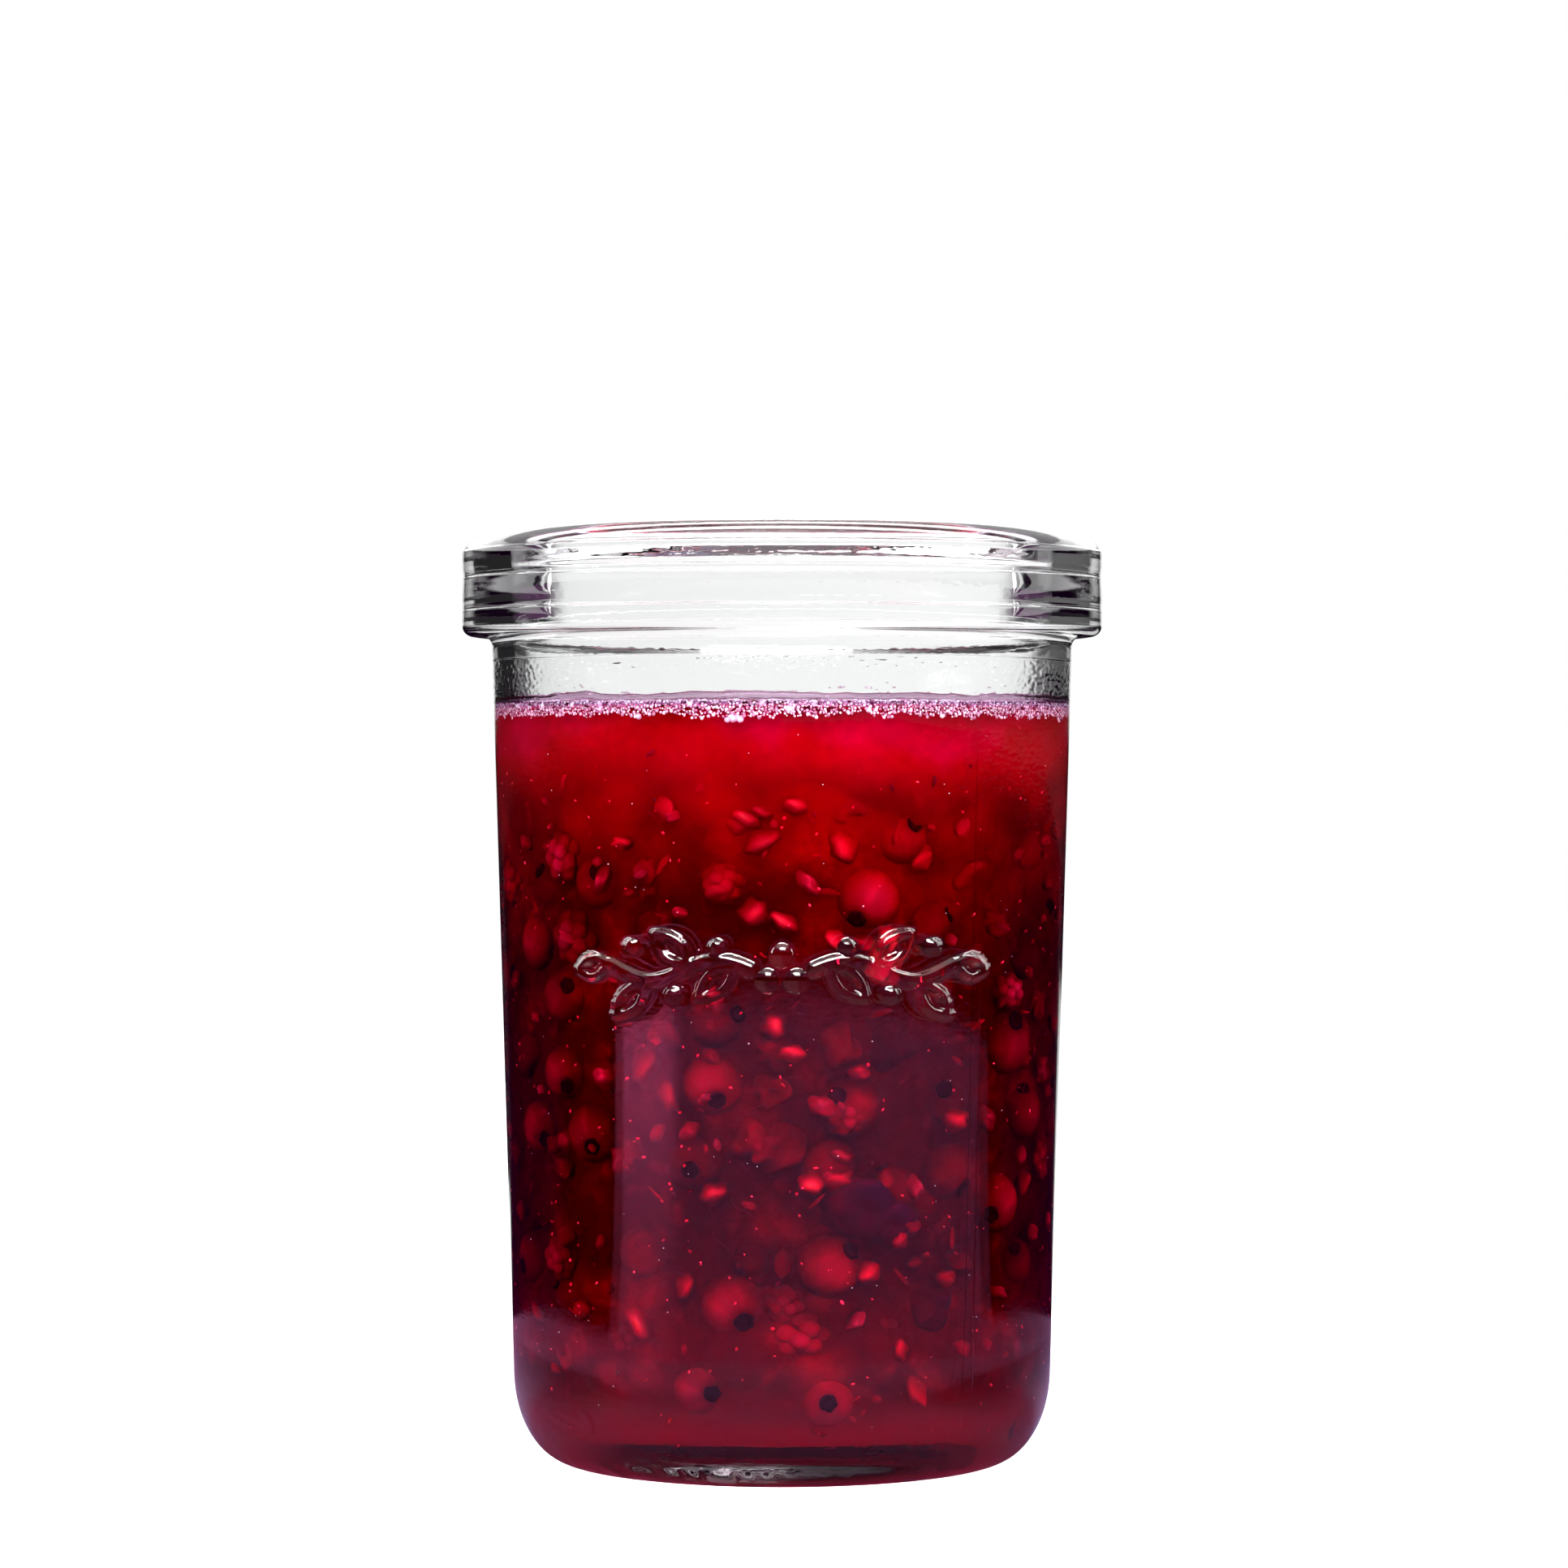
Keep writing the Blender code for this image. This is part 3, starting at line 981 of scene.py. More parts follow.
def cells(where, scale):
    return node(where.tree, "ShaderNodeTexVoronoi", {"Vector": where, "Scale": scale}, "Distance")


def cloud_colour():
    """One colour field for the whole compote, by place: every piece fades into it with depth."""
    tree, given = shader_group("cloud_colour", (), (("Colour", "Color"),))
    where = place(tree)
    x, _, height = parts_of(where)
    warp = node(tree, "ShaderNodeTexNoise", {"Vector": where, "Scale": 130.0}, out="Color")
    warp = vector_math("SUBTRACT", warp, (0.5, 0.5, 0.5))
    warped = vector_math("ADD", where, vector_math("SCALE", warp, Scale=0.008))
    drift = (noise_pattern(where, 38.0, 3.0) - 0.5) * 0.045
    drift = math_node("MULTIPLY_ADD", x, 0.08, drift)

    # dark below in painted shade, with blots and flecks of ruby, and painted light above, whose border
    # drifts up and down
    choose = noise_pattern(where, 75.0, 1.0)
    blob = fade(cells(warped, 95.0), 0.15, 0.62) * ramp(choose, 0.38, 0.66)
    fleck = fade(cells(warped, 230.0), 0.12, 0.55)
    fleck = fleck * ramp(noise_pattern(warped, 120.0, 1.0), 0.48, 0.70)
    patchy = ramp(choose, 0.38, 0.62, 0.4, 1.0)
    painted_light = ramp(height + drift, 0.076, 0.106)
    painted_light = painted_light * highest(patchy, ramp(height, 0.093, 0.107))
    colour = mix_colour(blob * 0.8, DEEP, RUBY)
    colour = mix_colour(fleck * 0.5, colour, RUBY)
    colour = mix_colour(painted_light, colour, PAINTED_TOP_LIGHT)
    colour = mix_colour(ramp(height + drift, 0.1060, 0.1130), colour, UNDER_FROTH)

    # fine grain, calmer above, then the dark open top and painted light at the heel
    coarse = (noise_pattern(warped, 420.0, 4.0, 0.65) - 0.5) * 1.6
    calm = ramp(height, 0.080, 0.100, 1.0, 0.3)
    grain = math_node("MULTIPLY_ADD", coarse, calm, 1.0)
    colour = mix_colour(1.0, colour, grain, "MULTIPLY")
    radius = length_of(vector_math("MULTIPLY", where, (1, 1, 0)))
    middle = fade(radius, 0.0310, 0.0365) * ramp(height, 0.106, 0.109)
    colour = mix_colour(middle, colour, OPEN_TOP)
    colour = mix_colour(fade(height, 0.006, 0.016), colour, PAINTED_HEEL_LIGHT)
    node(tree, "NodeGroupOutput", {0: colour}, out=None)
    return tree


CLOUD_COLOUR = cloud_colour()
print("the cloud has", len(CLOUD_COLOUR.nodes), "nodes")

# %% Murk material
murk, tree, shader, output = new_material("compote_murk", {
    "Roughness": 0.8, "Specular IOR Level": 0.0, "Emission Strength": 1.0,
})
height = parts_of(place(tree))[2]
# painted light: the murk's bottom glows faintly red, in place of light that wanders through the compote
# down to its heel
painted_light = mix_colour(fade(height, 0.0045, 0.0130), (0, 0, 0), (0.11, 0.009, 0.026))
fill(shader, {
    "Emission Color": painted_light, "Base Color": node(tree, "ShaderNodeGroup", node_tree=CLOUD_COLOUR),
})
print("murk material made")

# %% Murky middle
CORE_DEPTH = 5.0 * MM
CORE_TOP_DEPTH = 1.5 * MM
CORE_TOP = SURFACE - 0.5 * MM
HEEL_DEPTH = 1.6 * MM

heel_top = FLOOR + INNER_HEEL
outline = [point for point in cavity(HEEL_DEPTH, heel_top, 4 * MM) if point[1] < heel_top]
outline += straight(outline[-1], (inner_radius(32 * MM) - CORE_DEPTH, 32 * MM), 3 * MM)
outline += straight(outline[-1], (inner_radius(LEVEL) - CORE_DEPTH, LEVEL - 27 * MM), 4 * MM)
near_wall = inner_radius(LEVEL) - CORE_TOP_DEPTH
outline += straight(outline[-1], (near_wall, LEVEL - 9 * MM), 3 * MM)
outline += straight(outline[-1], (near_wall, CORE_TOP - 1 * MM), 3 * MM)
outline += quarter((near_wall - 1 * MM, CORE_TOP - 1 * MM), 1 * MM, 1 * MM, 3, 0, 90)[1:]
outline += straight(outline[-1], (0.0, CORE_TOP), 4 * MM)
core = turn_on_lathe("compote_core", outline, 120, murk)
for corner in core.data.vertices:
    lump = noise.noise(corner.co * 130) + 0.5 * noise.noise(corner.co * 300)
    across = math.hypot(corner.co.x, corner.co.y)
    if across > 5 * MM:
        corner.co.xy *= 1 + 0.7 * MM * lump / across
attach(core, "root")
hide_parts("fruit_compote")

# %% [markdown]
# ## Fruit: one tree places all of it
# Currants, pulp, seeds, bubbles and scraps are each one small shape that is repeated. A single
# Geometry Nodes tree sets a shape on every place, turns it to the way it should face, spins it about
# that way at random, and makes it a little uneven. The places are points that carry a size and a
# direction. Some are listed one by one on the front, the others are spread by seed all round the jar.

# %% The scatter tree


def scatter_tree():
    tree, given = geometry_tree("scatter", (
        ("Places", "Object"), ("Shape", "Object"), ("Uneven", "Float"), ("Seed", "Int"),
        ("Material", "Material"),
    ))
    places = node(tree, "GeometryNodeObjectInfo", {0: given["Places"]}, out="Geometry")
    shape = node(tree, "GeometryNodeObjectInfo", {0: given["Shape"]}, out="Geometry")
    size = node(tree, "GeometryNodeInputNamedAttribute", {"Name": "size"}, data_type="FLOAT")
    aim = node(tree, "GeometryNodeInputNamedAttribute", {"Name": "aim"}, data_type="FLOAT_VECTOR")
    angle = node(tree, "FunctionNodeRandomValue", {
        2: 0.0, 3: math.tau, "Seed": given["Seed"],
    }, out=1, data_type="FLOAT")
    spin = node(tree, "FunctionNodeAxisAngleToRotation", {"Axis": (0, 0, 1), "Angle": angle})
    facing = node(tree, "FunctionNodeAlignRotationToVector", {"Vector": aim}, axis="Z")
    facing = node(tree, "FunctionNodeRotateRotation", {0: facing, 1: spin}, rotation_space="LOCAL")
    stretch = node(tree, "FunctionNodeRandomValue", {
        0: 1.0 - given["Uneven"], 1: 1.0 + given["Uneven"], "Seed": given["Seed"] + 7.0,
    }, data_type="FLOAT_VECTOR")
    set_out = node(tree, "GeometryNodeInstanceOnPoints", {
        "Points": places, "Instance": shape, "Rotation": facing,
        "Scale": vector_math("SCALE", stretch, Scale=size),
    })
    tone = node(tree, "FunctionNodeRandomValue", {
        2: 0.0, 3: 1.0, "Seed": given["Seed"] + 19.0,
    }, out=1, data_type="FLOAT")
    set_out = node(tree, "GeometryNodeStoreNamedAttribute", {
        "Geometry": set_out, "Name": "tone", "Value": tone,
    }, data_type="FLOAT", domain="INSTANCE")
    finish_tree(tree, set_out, given["Material"])
    return tree


SCATTER = scatter_tree()
print("scatter tree has", len(SCATTER.nodes), "nodes")

# %% Set a shape on every place


def scatter(name, places, shape, material, uneven, seed):
    """Sets the shape on every place. A place is (spot, size, direction it faces)."""
    mesh = bpy.data.meshes.new(name + "_places")
    mesh.from_pydata([spot for spot, size, aim in places], [], [])
    mesh.attributes.new("size", "FLOAT", "POINT").data.foreach_set(
        "value", [size for spot, size, aim in places],
    )
    mesh.attributes.new("aim", "FLOAT_VECTOR", "POINT").data.foreach_set(
        "vector", [part for spot, size, aim in places for part in aim],
    )
    guide = add_object(name + "_places", mesh)
    piece = run_tree(name, SCATTER, {
        "Places": guide, "Shape": shape, "Uneven": uneven, "Seed": seed, "Material": material,
    })
    bpy.data.objects.remove(guide)
    bpy.data.objects.remove(shape)
    piece.data.shade_smooth()
    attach(piece, "root")
    print(name, "has", len(places), "places and", len(piece.data.polygons), "faces")
    return piece


# %% The inside wall and the line of sight


def cavity_radius(z):
    """The inside of the jar at a height, its rounded heel included."""
    heel_top = FLOOR + INNER_HEEL
    if z >= heel_top:
        return inner_radius(z)
    drop = min(1.0, (heel_top - z) / INNER_HEEL)
    return FLOOR_RADIUS + (inner_radius(heel_top) - FLOOR_RADIUS) * math.sqrt(1 - drop * drop)


def meet(start, ray, radius_at):
    """Where a line that comes from outside first meets the radius that belongs to its height."""
    point = start + ray * 0.7
    for _ in range(5):
        radius = radius_at(point.z)
        a = ray.x**2 + ray.y**2
        b = start.x * ray.x + start.y * ray.y
        c = start.x**2 + start.y**2 - radius**2
        point = start + ray * ((-b - math.sqrt(max(b * b - a * c, 0.0))) / a)
    return point


def outward_at(turn):
    """The level direction away from the axis, at a turn from the front."""
    return Vector((math.sin(turn), -math.cos(turn), 0.0))


print("the inner radius 10 mm up is", round(cavity_radius(10 * MM) / MM, 1), "mm")

# %% Places behind the wall


def behind_wall(across, height, depth):
    """The spot at a depth behind the inner wall that the camera sees at that place, in mm on the
    plane through the axis, after the syrup has bent the line of sight."""
    eye = camera.location
    ray = (Vector((across, 0.0, height)) * MM - eye).normalized()
    spot = meet(eye, ray, outer_radius)
    outward = Vector((spot.x, spot.y, 0.0)).normalized()
    slant = -ray.dot(outward)
    ratio = 1 / SYRUP_BEND
    inner_slant = math.sqrt(1 - ratio**2 * (1 - slant**2))
    bent = ray * ratio + outward * (ratio * slant - inner_slant)
    return meet(spot, bent, lambda z: cavity_radius(z) - depth * MM)


print("a thing 2 mm deep, seen 30 mm left, is at",
      [round(v / MM, 1) for v in behind_wall(-30, 60, 2)])

# %% Places all round
TRIES = 40  # for each place, as many fall on a taken spot


def round_the_jar(count, seed, heights, sizes, depths, apart=0.0, clear_of=(), outwards=0.8):
    """Seeded places all round, behind the wall. All lengths are in mm."""
    chance = random.Random(seed)
    made = []
    for _ in range(TRIES * count):
        if len(made) == count:
            break
        size = chance.uniform(*sizes) * MM
        z = chance.uniform(*heights) * MM
        turn = chance.uniform(-math.pi, math.pi)
        radius = cavity_radius(max(z - size, FLOOR)) - chance.uniform(*depths) * MM - size
        outward = outward_at(turn)
        spot = outward * radius + Vector((0.0, 0.0, z))
        taken = made + list(clear_of)
        if apart and any((spot - o).length < apart * (size + s) for o, s, _ in taken):
            continue
        loose = Vector([chance.gauss(0, 1) for _ in range(3)]).normalized()
        made.append((spot, size, (outward * outwards + loose).normalized()))
    return made


print("places can be spread, such as", len(round_the_jar(5, 1, (20, 90), (1, 2), (1, 2))))

# %% [markdown]
# ## Small shapes
# Each is a unit shape, about one unit in radius, that faces up. Shapes that are repeated often have
# only a few dozen faces. A currant has a small pit at its top, where its dried flower sits, and pale
# veins from there to its stalk. A mesh attribute marks the veins for the material.

# %% Lumps


def shape_object(name, shape):
    mesh = bpy.data.meshes.new(name)
    bmesh.ops.recalc_face_normals(shape, faces=shape.faces[:])
    shape.to_mesh(mesh)
    shape.free()
    return add_object(name, mesh)


def lump_shape(name, rings, size, rough, seed, soft=1.0):
    """A ball of 20, 80, 320 or 1280 faces, stretched to size and made lumpy. The softer it is, the more
    gently its outer face falls away into the cloud."""
    shape = bmesh.new()
    bmesh.ops.create_icosphere(shape, subdivisions=rings, radius=1.0)
    for corner in shape.verts:
        corner.co.z = math.copysign(abs(corner.co.z) ** soft, corner.co.z)
        push = 1 + rough * noise.noise(corner.co * 1.4 + Vector((seed, 0.3, 0.7)))
        corner.co = Vector([corner.co[i] * push * size[i] for i in range(3)])
    return shape_object(name, shape)


print("lumps ready")

# %% Currant


def currant_shape(name):
    shape = bmesh.new()
    bmesh.ops.create_uvsphere(shape, u_segments=24, v_segments=20, radius=1.0)
    for corner in shape.verts:
        across = math.hypot(corner.co.x, corner.co.y)
        if corner.co.z > 0:
            corner.co.z -= 0.16 * math.exp(-((across / 0.28) ** 2))
        corner.co.z *= 0.96
    made = shape_object(name, shape)
    veins = made.data.attributes.new("vein", "FLOAT", "POINT")
    pits = made.data.attributes.new("pit", "FLOAT", "POINT")
    for corner in made.data.vertices:
        turn = math.atan2(corner.co.y, corner.co.x)
        across = math.hypot(corner.co.x, corner.co.y)
        veins.data[corner.index].value = max(0.0, math.cos(6 * turn)) ** 6 * min(1, 1.3 * across)
        pits.data[corner.index].value = math.exp(-((across / 0.40) ** 2)) if corner.co.z > 0 else 0.0
    return made


print("currant ready")

# %% Dried flower


def bridge(shape, rings):
    """Faces between each ring of corners and the next."""
    for low, high in zip(rings, rings[1:]):
        for i in range(len(low)):
            k = (i + 1) % len(low)
            shape.faces.new((low[i], low[k], high[k], high[i]))


def crown_shape(name):
    """The dried flower at a currant's top: a ragged little cup."""
    shape = bmesh.new()
    ends = 11
    rings = []
    for radius, height, ragged in ((0.15, 0.80, 0), (0.30, 0.88, 0.02), (0.28, 0.99, 0.035),
                                   (0.16, 0.94, 0.01)):
        ring = []
        for i in range(ends):
            turn = math.tau * i / ends
            reach = radius + ragged * math.cos(5 * turn + 1) + ragged * 0.6 * math.sin(8 * turn)
            rise = height + ragged * math.sin(3 * turn)
            ring.append(shape.verts.new((reach * math.cos(turn), reach * math.sin(turn), rise)))
        rings.append(ring)
    bridge(shape, rings)
    shape.faces.new(rings[0][::-1])
    middle = shape.verts.new((0, 0, 0.9))
    for i in range(ends):
        shape.faces.new((rings[-1][i], rings[-1][(i + 1) % ends], middle))
    return shape_object(name, shape)


print("dried flower ready")

# %% Raspberry piece


def drupelet_shape(name):
    """A piece of a raspberry: small beads packed on a dome."""
    shape = bmesh.new()
    for i in range(15):
        rise = 1 - (i + 0.5) / 15 * 1.15
        turn = i * 2.39996
        ring = math.sqrt(max(0.0, 1 - rise * rise))
        spot = Vector((ring * math.cos(turn), ring * math.sin(turn), rise)) * 0.72
        made = bmesh.ops.create_icosphere(shape, subdivisions=2, radius=0.36)
        for corner in made["verts"]:
            corner.co += spot
    return shape_object(name, shape)


print("raspberry piece ready")

# %% Thread


def fibre_shape(name):
    """A thin curved thread, one unit long either way."""
    shape = bmesh.new()
    rings = []
    for i in range(9):
        t = i / 8 * 2 - 1
        thick = 0.035 * (1 - 0.7 * t * t)
        centre = Vector((t, 0.35 * (1 - t * t) + 0.08 * math.sin(5 * t), 0.05 * math.sin(4 * t)))
        rings.append([
            shape.verts.new(centre + Vector((0, thick * math.cos(a), thick * math.sin(a))))
            for a in (0.0, math.tau / 3, 2 * math.tau / 3)
        ])
    bridge(shape, rings)
    shape.faces.new(rings[0])
    shape.faces.new(rings[-1])
    return shape_object(name, shape)


print("thread ready")

# %% [markdown]
# ## Fruit materials
# Stewed fruit is soft and half clear: its skin is duller than its flesh, and no two pieces have quite
# the same colour. One helper mixes each material from two colours by a cloudy pattern, with a random
# tone for each piece that the scatter tree has stored.

# %% Fading into the cloud


def behind_cloud():
    """Mixes a piece's own colour into the cloud's, by how deep it lies behind the wall. Its shading
    turns with it: what is deep is lit as the cloud is, so its edges melt away."""
    tree, given = shader_group(
        "behind_cloud",
        (("Own Colour", "Color"), ("Own Normal", "Vector"), ("Clear Depth", "Float")),
        (("Colour", "Color"), ("Normal", "Vector")),
    )
    where = place(tree)
    height = parts_of(where)[2]
    flat = vector_math("MULTIPLY", where, (1, 1, 0))
    heel_top = FLOOR + INNER_HEEL
    heel_radius = inner_radius(heel_top)
    slope = (inner_radius(LEVEL) - heel_radius) / (LEVEL - heel_top)
    wall_at = math_node("MULTIPLY_ADD", highest(height - heel_top, 0.0), slope, heel_radius)
    drop = lowest(highest(heel_top - height, 0.0), 0.99 * INNER_HEEL) / INNER_HEEL
    curve = 1.0 - math_node("SQRT", 1.0 - drop**2.0)
    wall_at = wall_at - curve * (heel_radius - FLOOR_RADIUS)
    depth = highest(wall_at - length_of(flat), 0.0) / given["Clear Depth"]
    clear = math_node("EXPONENT", depth * -1.0)
    cloud = node(tree, "ShaderNodeGroup", node_tree=CLOUD_COLOUR)
    own = vector_math("SCALE", given["Own Normal"], Scale=clear)
    rest = vector_math("SCALE", vector_math("NORMALIZE", flat), Scale=1.0 - clear)
    node(tree, "NodeGroupOutput", {
        0: mix_colour(clear, cloud, given["Own Colour"]),
        1: vector_math("NORMALIZE", vector_math("ADD", own, rest)),
    }, out=None)
    return tree


BEHIND_CLOUD = behind_cloud()
print("fading ready")

# %% Fruit materials


def attribute(tree, name):
    return node(tree, "ShaderNodeAttribute", out="Fac", attribute_name=name)


def flesh(name, dark, light, clear=1.6, roughness=0.45, scale=500.0, vein=None):
    """clear is how many mm behind the wall the piece has sunk to a third of its own colour."""
    material, tree, shader, output = new_material(name, {
        "Roughness": roughness, "Specular IOR Level": 0.05,
    })
    mottle = noise_pattern(place(tree), scale, 2.0, 0.6)
    share = ramp(attribute(tree, "tone") * 0.6 + mottle * 0.4, 0.15, 0.85)
    base = mix_colour(share, dark, light)
    if vein:
        base = mix_colour(attribute(tree, "vein") * 0.35, base, vein)
        base = mix_colour(attribute(tree, "pit") * 0.9, base, (0.01, 0, 0.004))
    bump = node(tree, "ShaderNodeBump", {"Height": mottle, "Strength": 0.3, "Distance": 0.2 * MM})
    sunk = node(tree, "ShaderNodeGroup", {
        "Own Colour": base, "Own Normal": bump, "Clear Depth": clear * MM,
    }, out="all", node_tree=BEHIND_CLOUD)
    fill(shader, {"Base Color": sunk["Colour"], "Normal": sunk["Normal"]})
    let_lamps_through(tree, shader, output)
    return material


currant_skin = flesh("currant_skin", (0.12, 0.0004, 0.009), (0.26, 0.001, 0.020), 1.5, 0.5, 350.0,
                     vein=(0.38, 0.005, 0.035))
dull_skin = flesh("dull_currant_skin", (0.07, 0.0003, 0.008), (0.18, 0.001, 0.022), 1.6, 0.5, 350.0,
                  vein=(0.22, 0.003, 0.03))
dried_flower = flesh("dried_flower", (0.002, 0.0003, 0.003), (0.008, 0.001, 0.006), 25.0, 0.7, 1500.0)
dark_skin = flesh("dark_berry_skin", (0.002, 0.001, 0.008), (0.010, 0.002, 0.014), 4.0, 0.5, 300.0)
pulp_red = flesh("pulp_flesh", (0.21, 0.0003, 0.005), (0.40, 0.0014, 0.012), 1.0, 0.6, 600.0)
dull_pulp = flesh("dull_pulp_flesh", (0.12, 0.0002, 0.008), (0.28, 0.001, 0.020), 1.1, 0.6, 600.0)
bead_red = flesh("bead_flesh", (0.16, 0.0005, 0.014), (0.34, 0.004, 0.040), 1.2, 0.4, 500.0)
burst_red = flesh("burst_flesh", (0.05, 0.0002, 0.006), (0.22, 0.001, 0.022), 1.6, 0.5, 420.0)
seed_gold = flesh("seed_gold", (0.60, 0.01, 0.06), (0.9, 0.08, 0.14), 1.4, 0.4, 900.0)
thread_pink = flesh("thread_flesh", (0.25, 0.002, 0.04), (0.50, 0.02, 0.1), 1.0, 0.5, 900.0)
scrap_dark = flesh("scrap_skin", (0.008, 0.001, 0.004), (0.06, 0.002, 0.01), 1.6, 0.6, 900.0)
print("fruit materials made")

# %% [markdown]
# ## Currants
# The largest fruit in the jar. Many show the dark dried flower at their top. The ones on the front
# are listed one by one: where the eye sees them, how deep they lie, and where their flower is. The
# others are spread round the jar and kept apart.

# %% Currants and their dried flowers
CURRANTS = (  # across, height, radius, depth of the nearest skin, and the flower's place, in mm
    (12.7, 84.3, 4.7, 0.3, -1.3, -3.3), (-26.7, 86.8, 4.4, 1.6, -2.0, 1.5),
    (6.9, 28.9, 4.8, 0.8, 3.5, 2.5), (17.3, 93.5, 4.4, 1.5, 3.0, 2.0),
    (33.1, 63.0, 5.2, 0.6, 3.5, 3.0), (24.0, 43.5, 4.6, 1.8, 3.5, -3.0),
    (-10.2, 56.3, 4.5, 0.6, 0.2, -2.4), (-7.1, 22.8, 4.9, 0.5, 1.2, -2.1),
    (-12.0, 11.2, 4.3, 0.3, 1.2, -1.2), (6.6, 9.6, 4.3, 0.3, 0.5, -1.0),
    (-27.9, 49.0, 4.5, 0.9, -1.6, -2.1), (-32.1, 58.1, 4.2, 0.9, -1.2, -2.1),
    (-36.0, 50.0, 4.0, 0.8, -0.8, -1.8), (-12.6, 44.7, 4.4, 2.4, -1.6, -1.2),
    (9.9, 53.0, 4.6, 1.2, -1.3, 1.8), (-36.0, 77.6, 4.3, 0.9, 1.5, -1.2),
    (-32.1, 69.5, 4.3, 1.0, -1.2, 1.8), (31.5, 38.6, 4.5, 0.8, 1.0, -1.8),
    (-20.0, 31.0, 4.4, 2.4, 3.0, 2.5),
)


def hand_set(entries):
    """Currants on the front, each faced so that its flower shows where it should."""
    made = []
    for across, height, radius, depth, right, up in entries:
        spot = behind_wall(across, height, depth + radius)
        near = math.sqrt(max(radius**2 - right**2 - up**2, 0.05))
        made.append((spot, radius * MM, Vector((right, -near, up)).normalized()))
    return made


front_currants = hand_set(CURRANTS)
more_currants = round_the_jar(
    46, 11, (12, 96), (3.7, 4.8), (1.0, 3.2), apart=1.02, clear_of=front_currants,
)
currants = front_currants + more_currants
scatter("currants", front_currants, currant_shape("currant"), currant_skin, 0.03, 3)
scatter("currants_around", more_currants, currant_shape("currant"), dull_skin, 0.05, 4)
scatter("dried_flowers", currants, crown_shape("crown"), dried_flower, 0.0, 3)

# %% Dark berries
dark_berries = hand_set((
    (11.0, 38.0, 5.2, 0.6, 3.0, 3.0), (-4.5, 28.9, 3.6, 3.2, 2.0, 2.0),
    (15.8, 36.0, 3.8, 1.0, 2.0, 2.0), (-22.0, 73.0, 3.8, 3.4, 2.0, 2.0),
))
dark_berries += round_the_jar(
    16, 23, (14, 84), (3.4, 4.6), (1.2, 2.8), apart=0.95, clear_of=currants + dark_berries,
)
scatter("dark_berries", dark_berries, lump_shape("dark", 4, (1, 0.95, 1), 0.3, 2.0),
        dark_skin, 0.08, 5)

# %% Raspberry pieces
beads = hand_set((
    (2.6, 18.5, 4.2, 0.5, 0.5, 0.3), (0.5, 23.0, 3.0, 0.8, 0.3, 0.6), (9.5, 51.5, 3.4, 0.9, 0.2, 0.5),
    (-33.0, 30.0, 3.4, 0.8, -0.5, 0.5), (-8.8, 86.5, 3.2, 0.9, -0.5, -0.5),
))
sprig_spots = [(behind_wall(across, 84.0, 3.0), 6 * MM, None) for across in (-18, -6, 6, 18)]
beads += round_the_jar(
    22, 31, (12, 92), (2.8, 4.2), (0.4, 1.6), apart=0.7,
    clear_of=currants + dark_berries + sprig_spots, outwards=1.6,
)
scatter("raspberry_beads", beads, drupelet_shape("beads"), bead_red, 0.12, 7)

# %% Burst fruit
whole_fruit = currants + dark_berries + beads
burst = round_the_jar(
    84, 27, (10, 100), (2.4, 4.6), (0.3, 2.6), apart=0.8, clear_of=whole_fruit, outwards=0.5,
)
scatter("burst_fruit", burst, lump_shape("burst", 4, (1.0, 0.8, 0.7), 0.75, 9.0), burst_red,
        0.25, 6)

# %% [markdown]
# ## Pulp
# Burst fruit leaves flakes of bright flesh. They are the brightest things in the jar and lie close to
# the wall. Each is thickest towards the wall and slopes back into the cloud on all sides, which gives
# it a soft edge.

# %% Pulp flakes
PULP = (  # across, height, half length, depth
    (4.4, 41.4, 1.9, 0.3), (8.1, 41.7, 1.8, 0.4), (8.8, 45.3, 1.9, 0.7), (15.4, 41.3, 2.0, 0.6),
    (-10.2, 39.8, 2.1, 0.4), (25.8, 50.8, 1.9, 0.2), (17.6, 32.9, 1.4, 0.6), (8.1, 78.0, 1.8, 0.2),
    (16.0, 78.0, 1.7, 0.2), (-4.1, 81.9, 2.3, 0.2), (0.2, 80.7, 1.8, 0.3), (-5.3, 95.9, 2.2, 0.6),
    (-2.9, 92.9, 2.2, 0.5), (-33.0, 89.2, 2.2, 0.3), (-9.3, 85.2, 2.0, 0.5), (20.1, 10.6, 2.2, 0.3),
    (17.6, 16.3, 1.6, 0.4), (-21.2, 20.3, 2.3, 0.2), (-14.5, 25.8, 2.0, 0.4), (2.0, 98.0, 1.6, 0.5),
    (-17.5, 97.5, 1.7, 0.7), (-3.0, 97.0, 1.5, 0.9), (-24.0, 92.5, 1.3, 0.8), (9.0, 92.0, 2.0, 1.2),
    (21.0, 90.0, 1.8, 1.0), (-20.5, 59.0, 2.2, 0.7), (-17.0, 54.5, 1.9, 0.8), (1.5, 60.8, 1.5, 0.8),
    (-1.2, 65.0, 2.0, 1.0), (13.0, 28.0, 1.7, 0.7), (24.5, 27.0, 1.6, 0.8), (-30.0, 22.5, 1.7, 0.6),
)
chance = random.Random(41)
flakes = []
for across, height, size, depth in PULP:
    aim = Vector((chance.uniform(-0.3, 0.3), -1.0, chance.uniform(-0.3, 0.3))).normalized()
    flakes.append((behind_wall(across, height, 0.6 * depth + 1.4 * size), size * MM, aim))
scatter("pulp_flakes", flakes, lump_shape("flake", 3, (1.25, 0.85, 1.4), 0.35, 5.0, 2.2), pulp_red,
        0.2, 9)
bits = round_the_jar(
    170, 43, (8, 102), (0.6, 2.0), (0.1, 1.6), apart=0.7, clear_of=flakes, outwards=2.5,
)
scatter("pulp_bits", bits, lump_shape("bit", 3, (1.1, 0.75, 1.2), 0.45, 7.0, 2.2), dull_pulp, 0.25, 10)

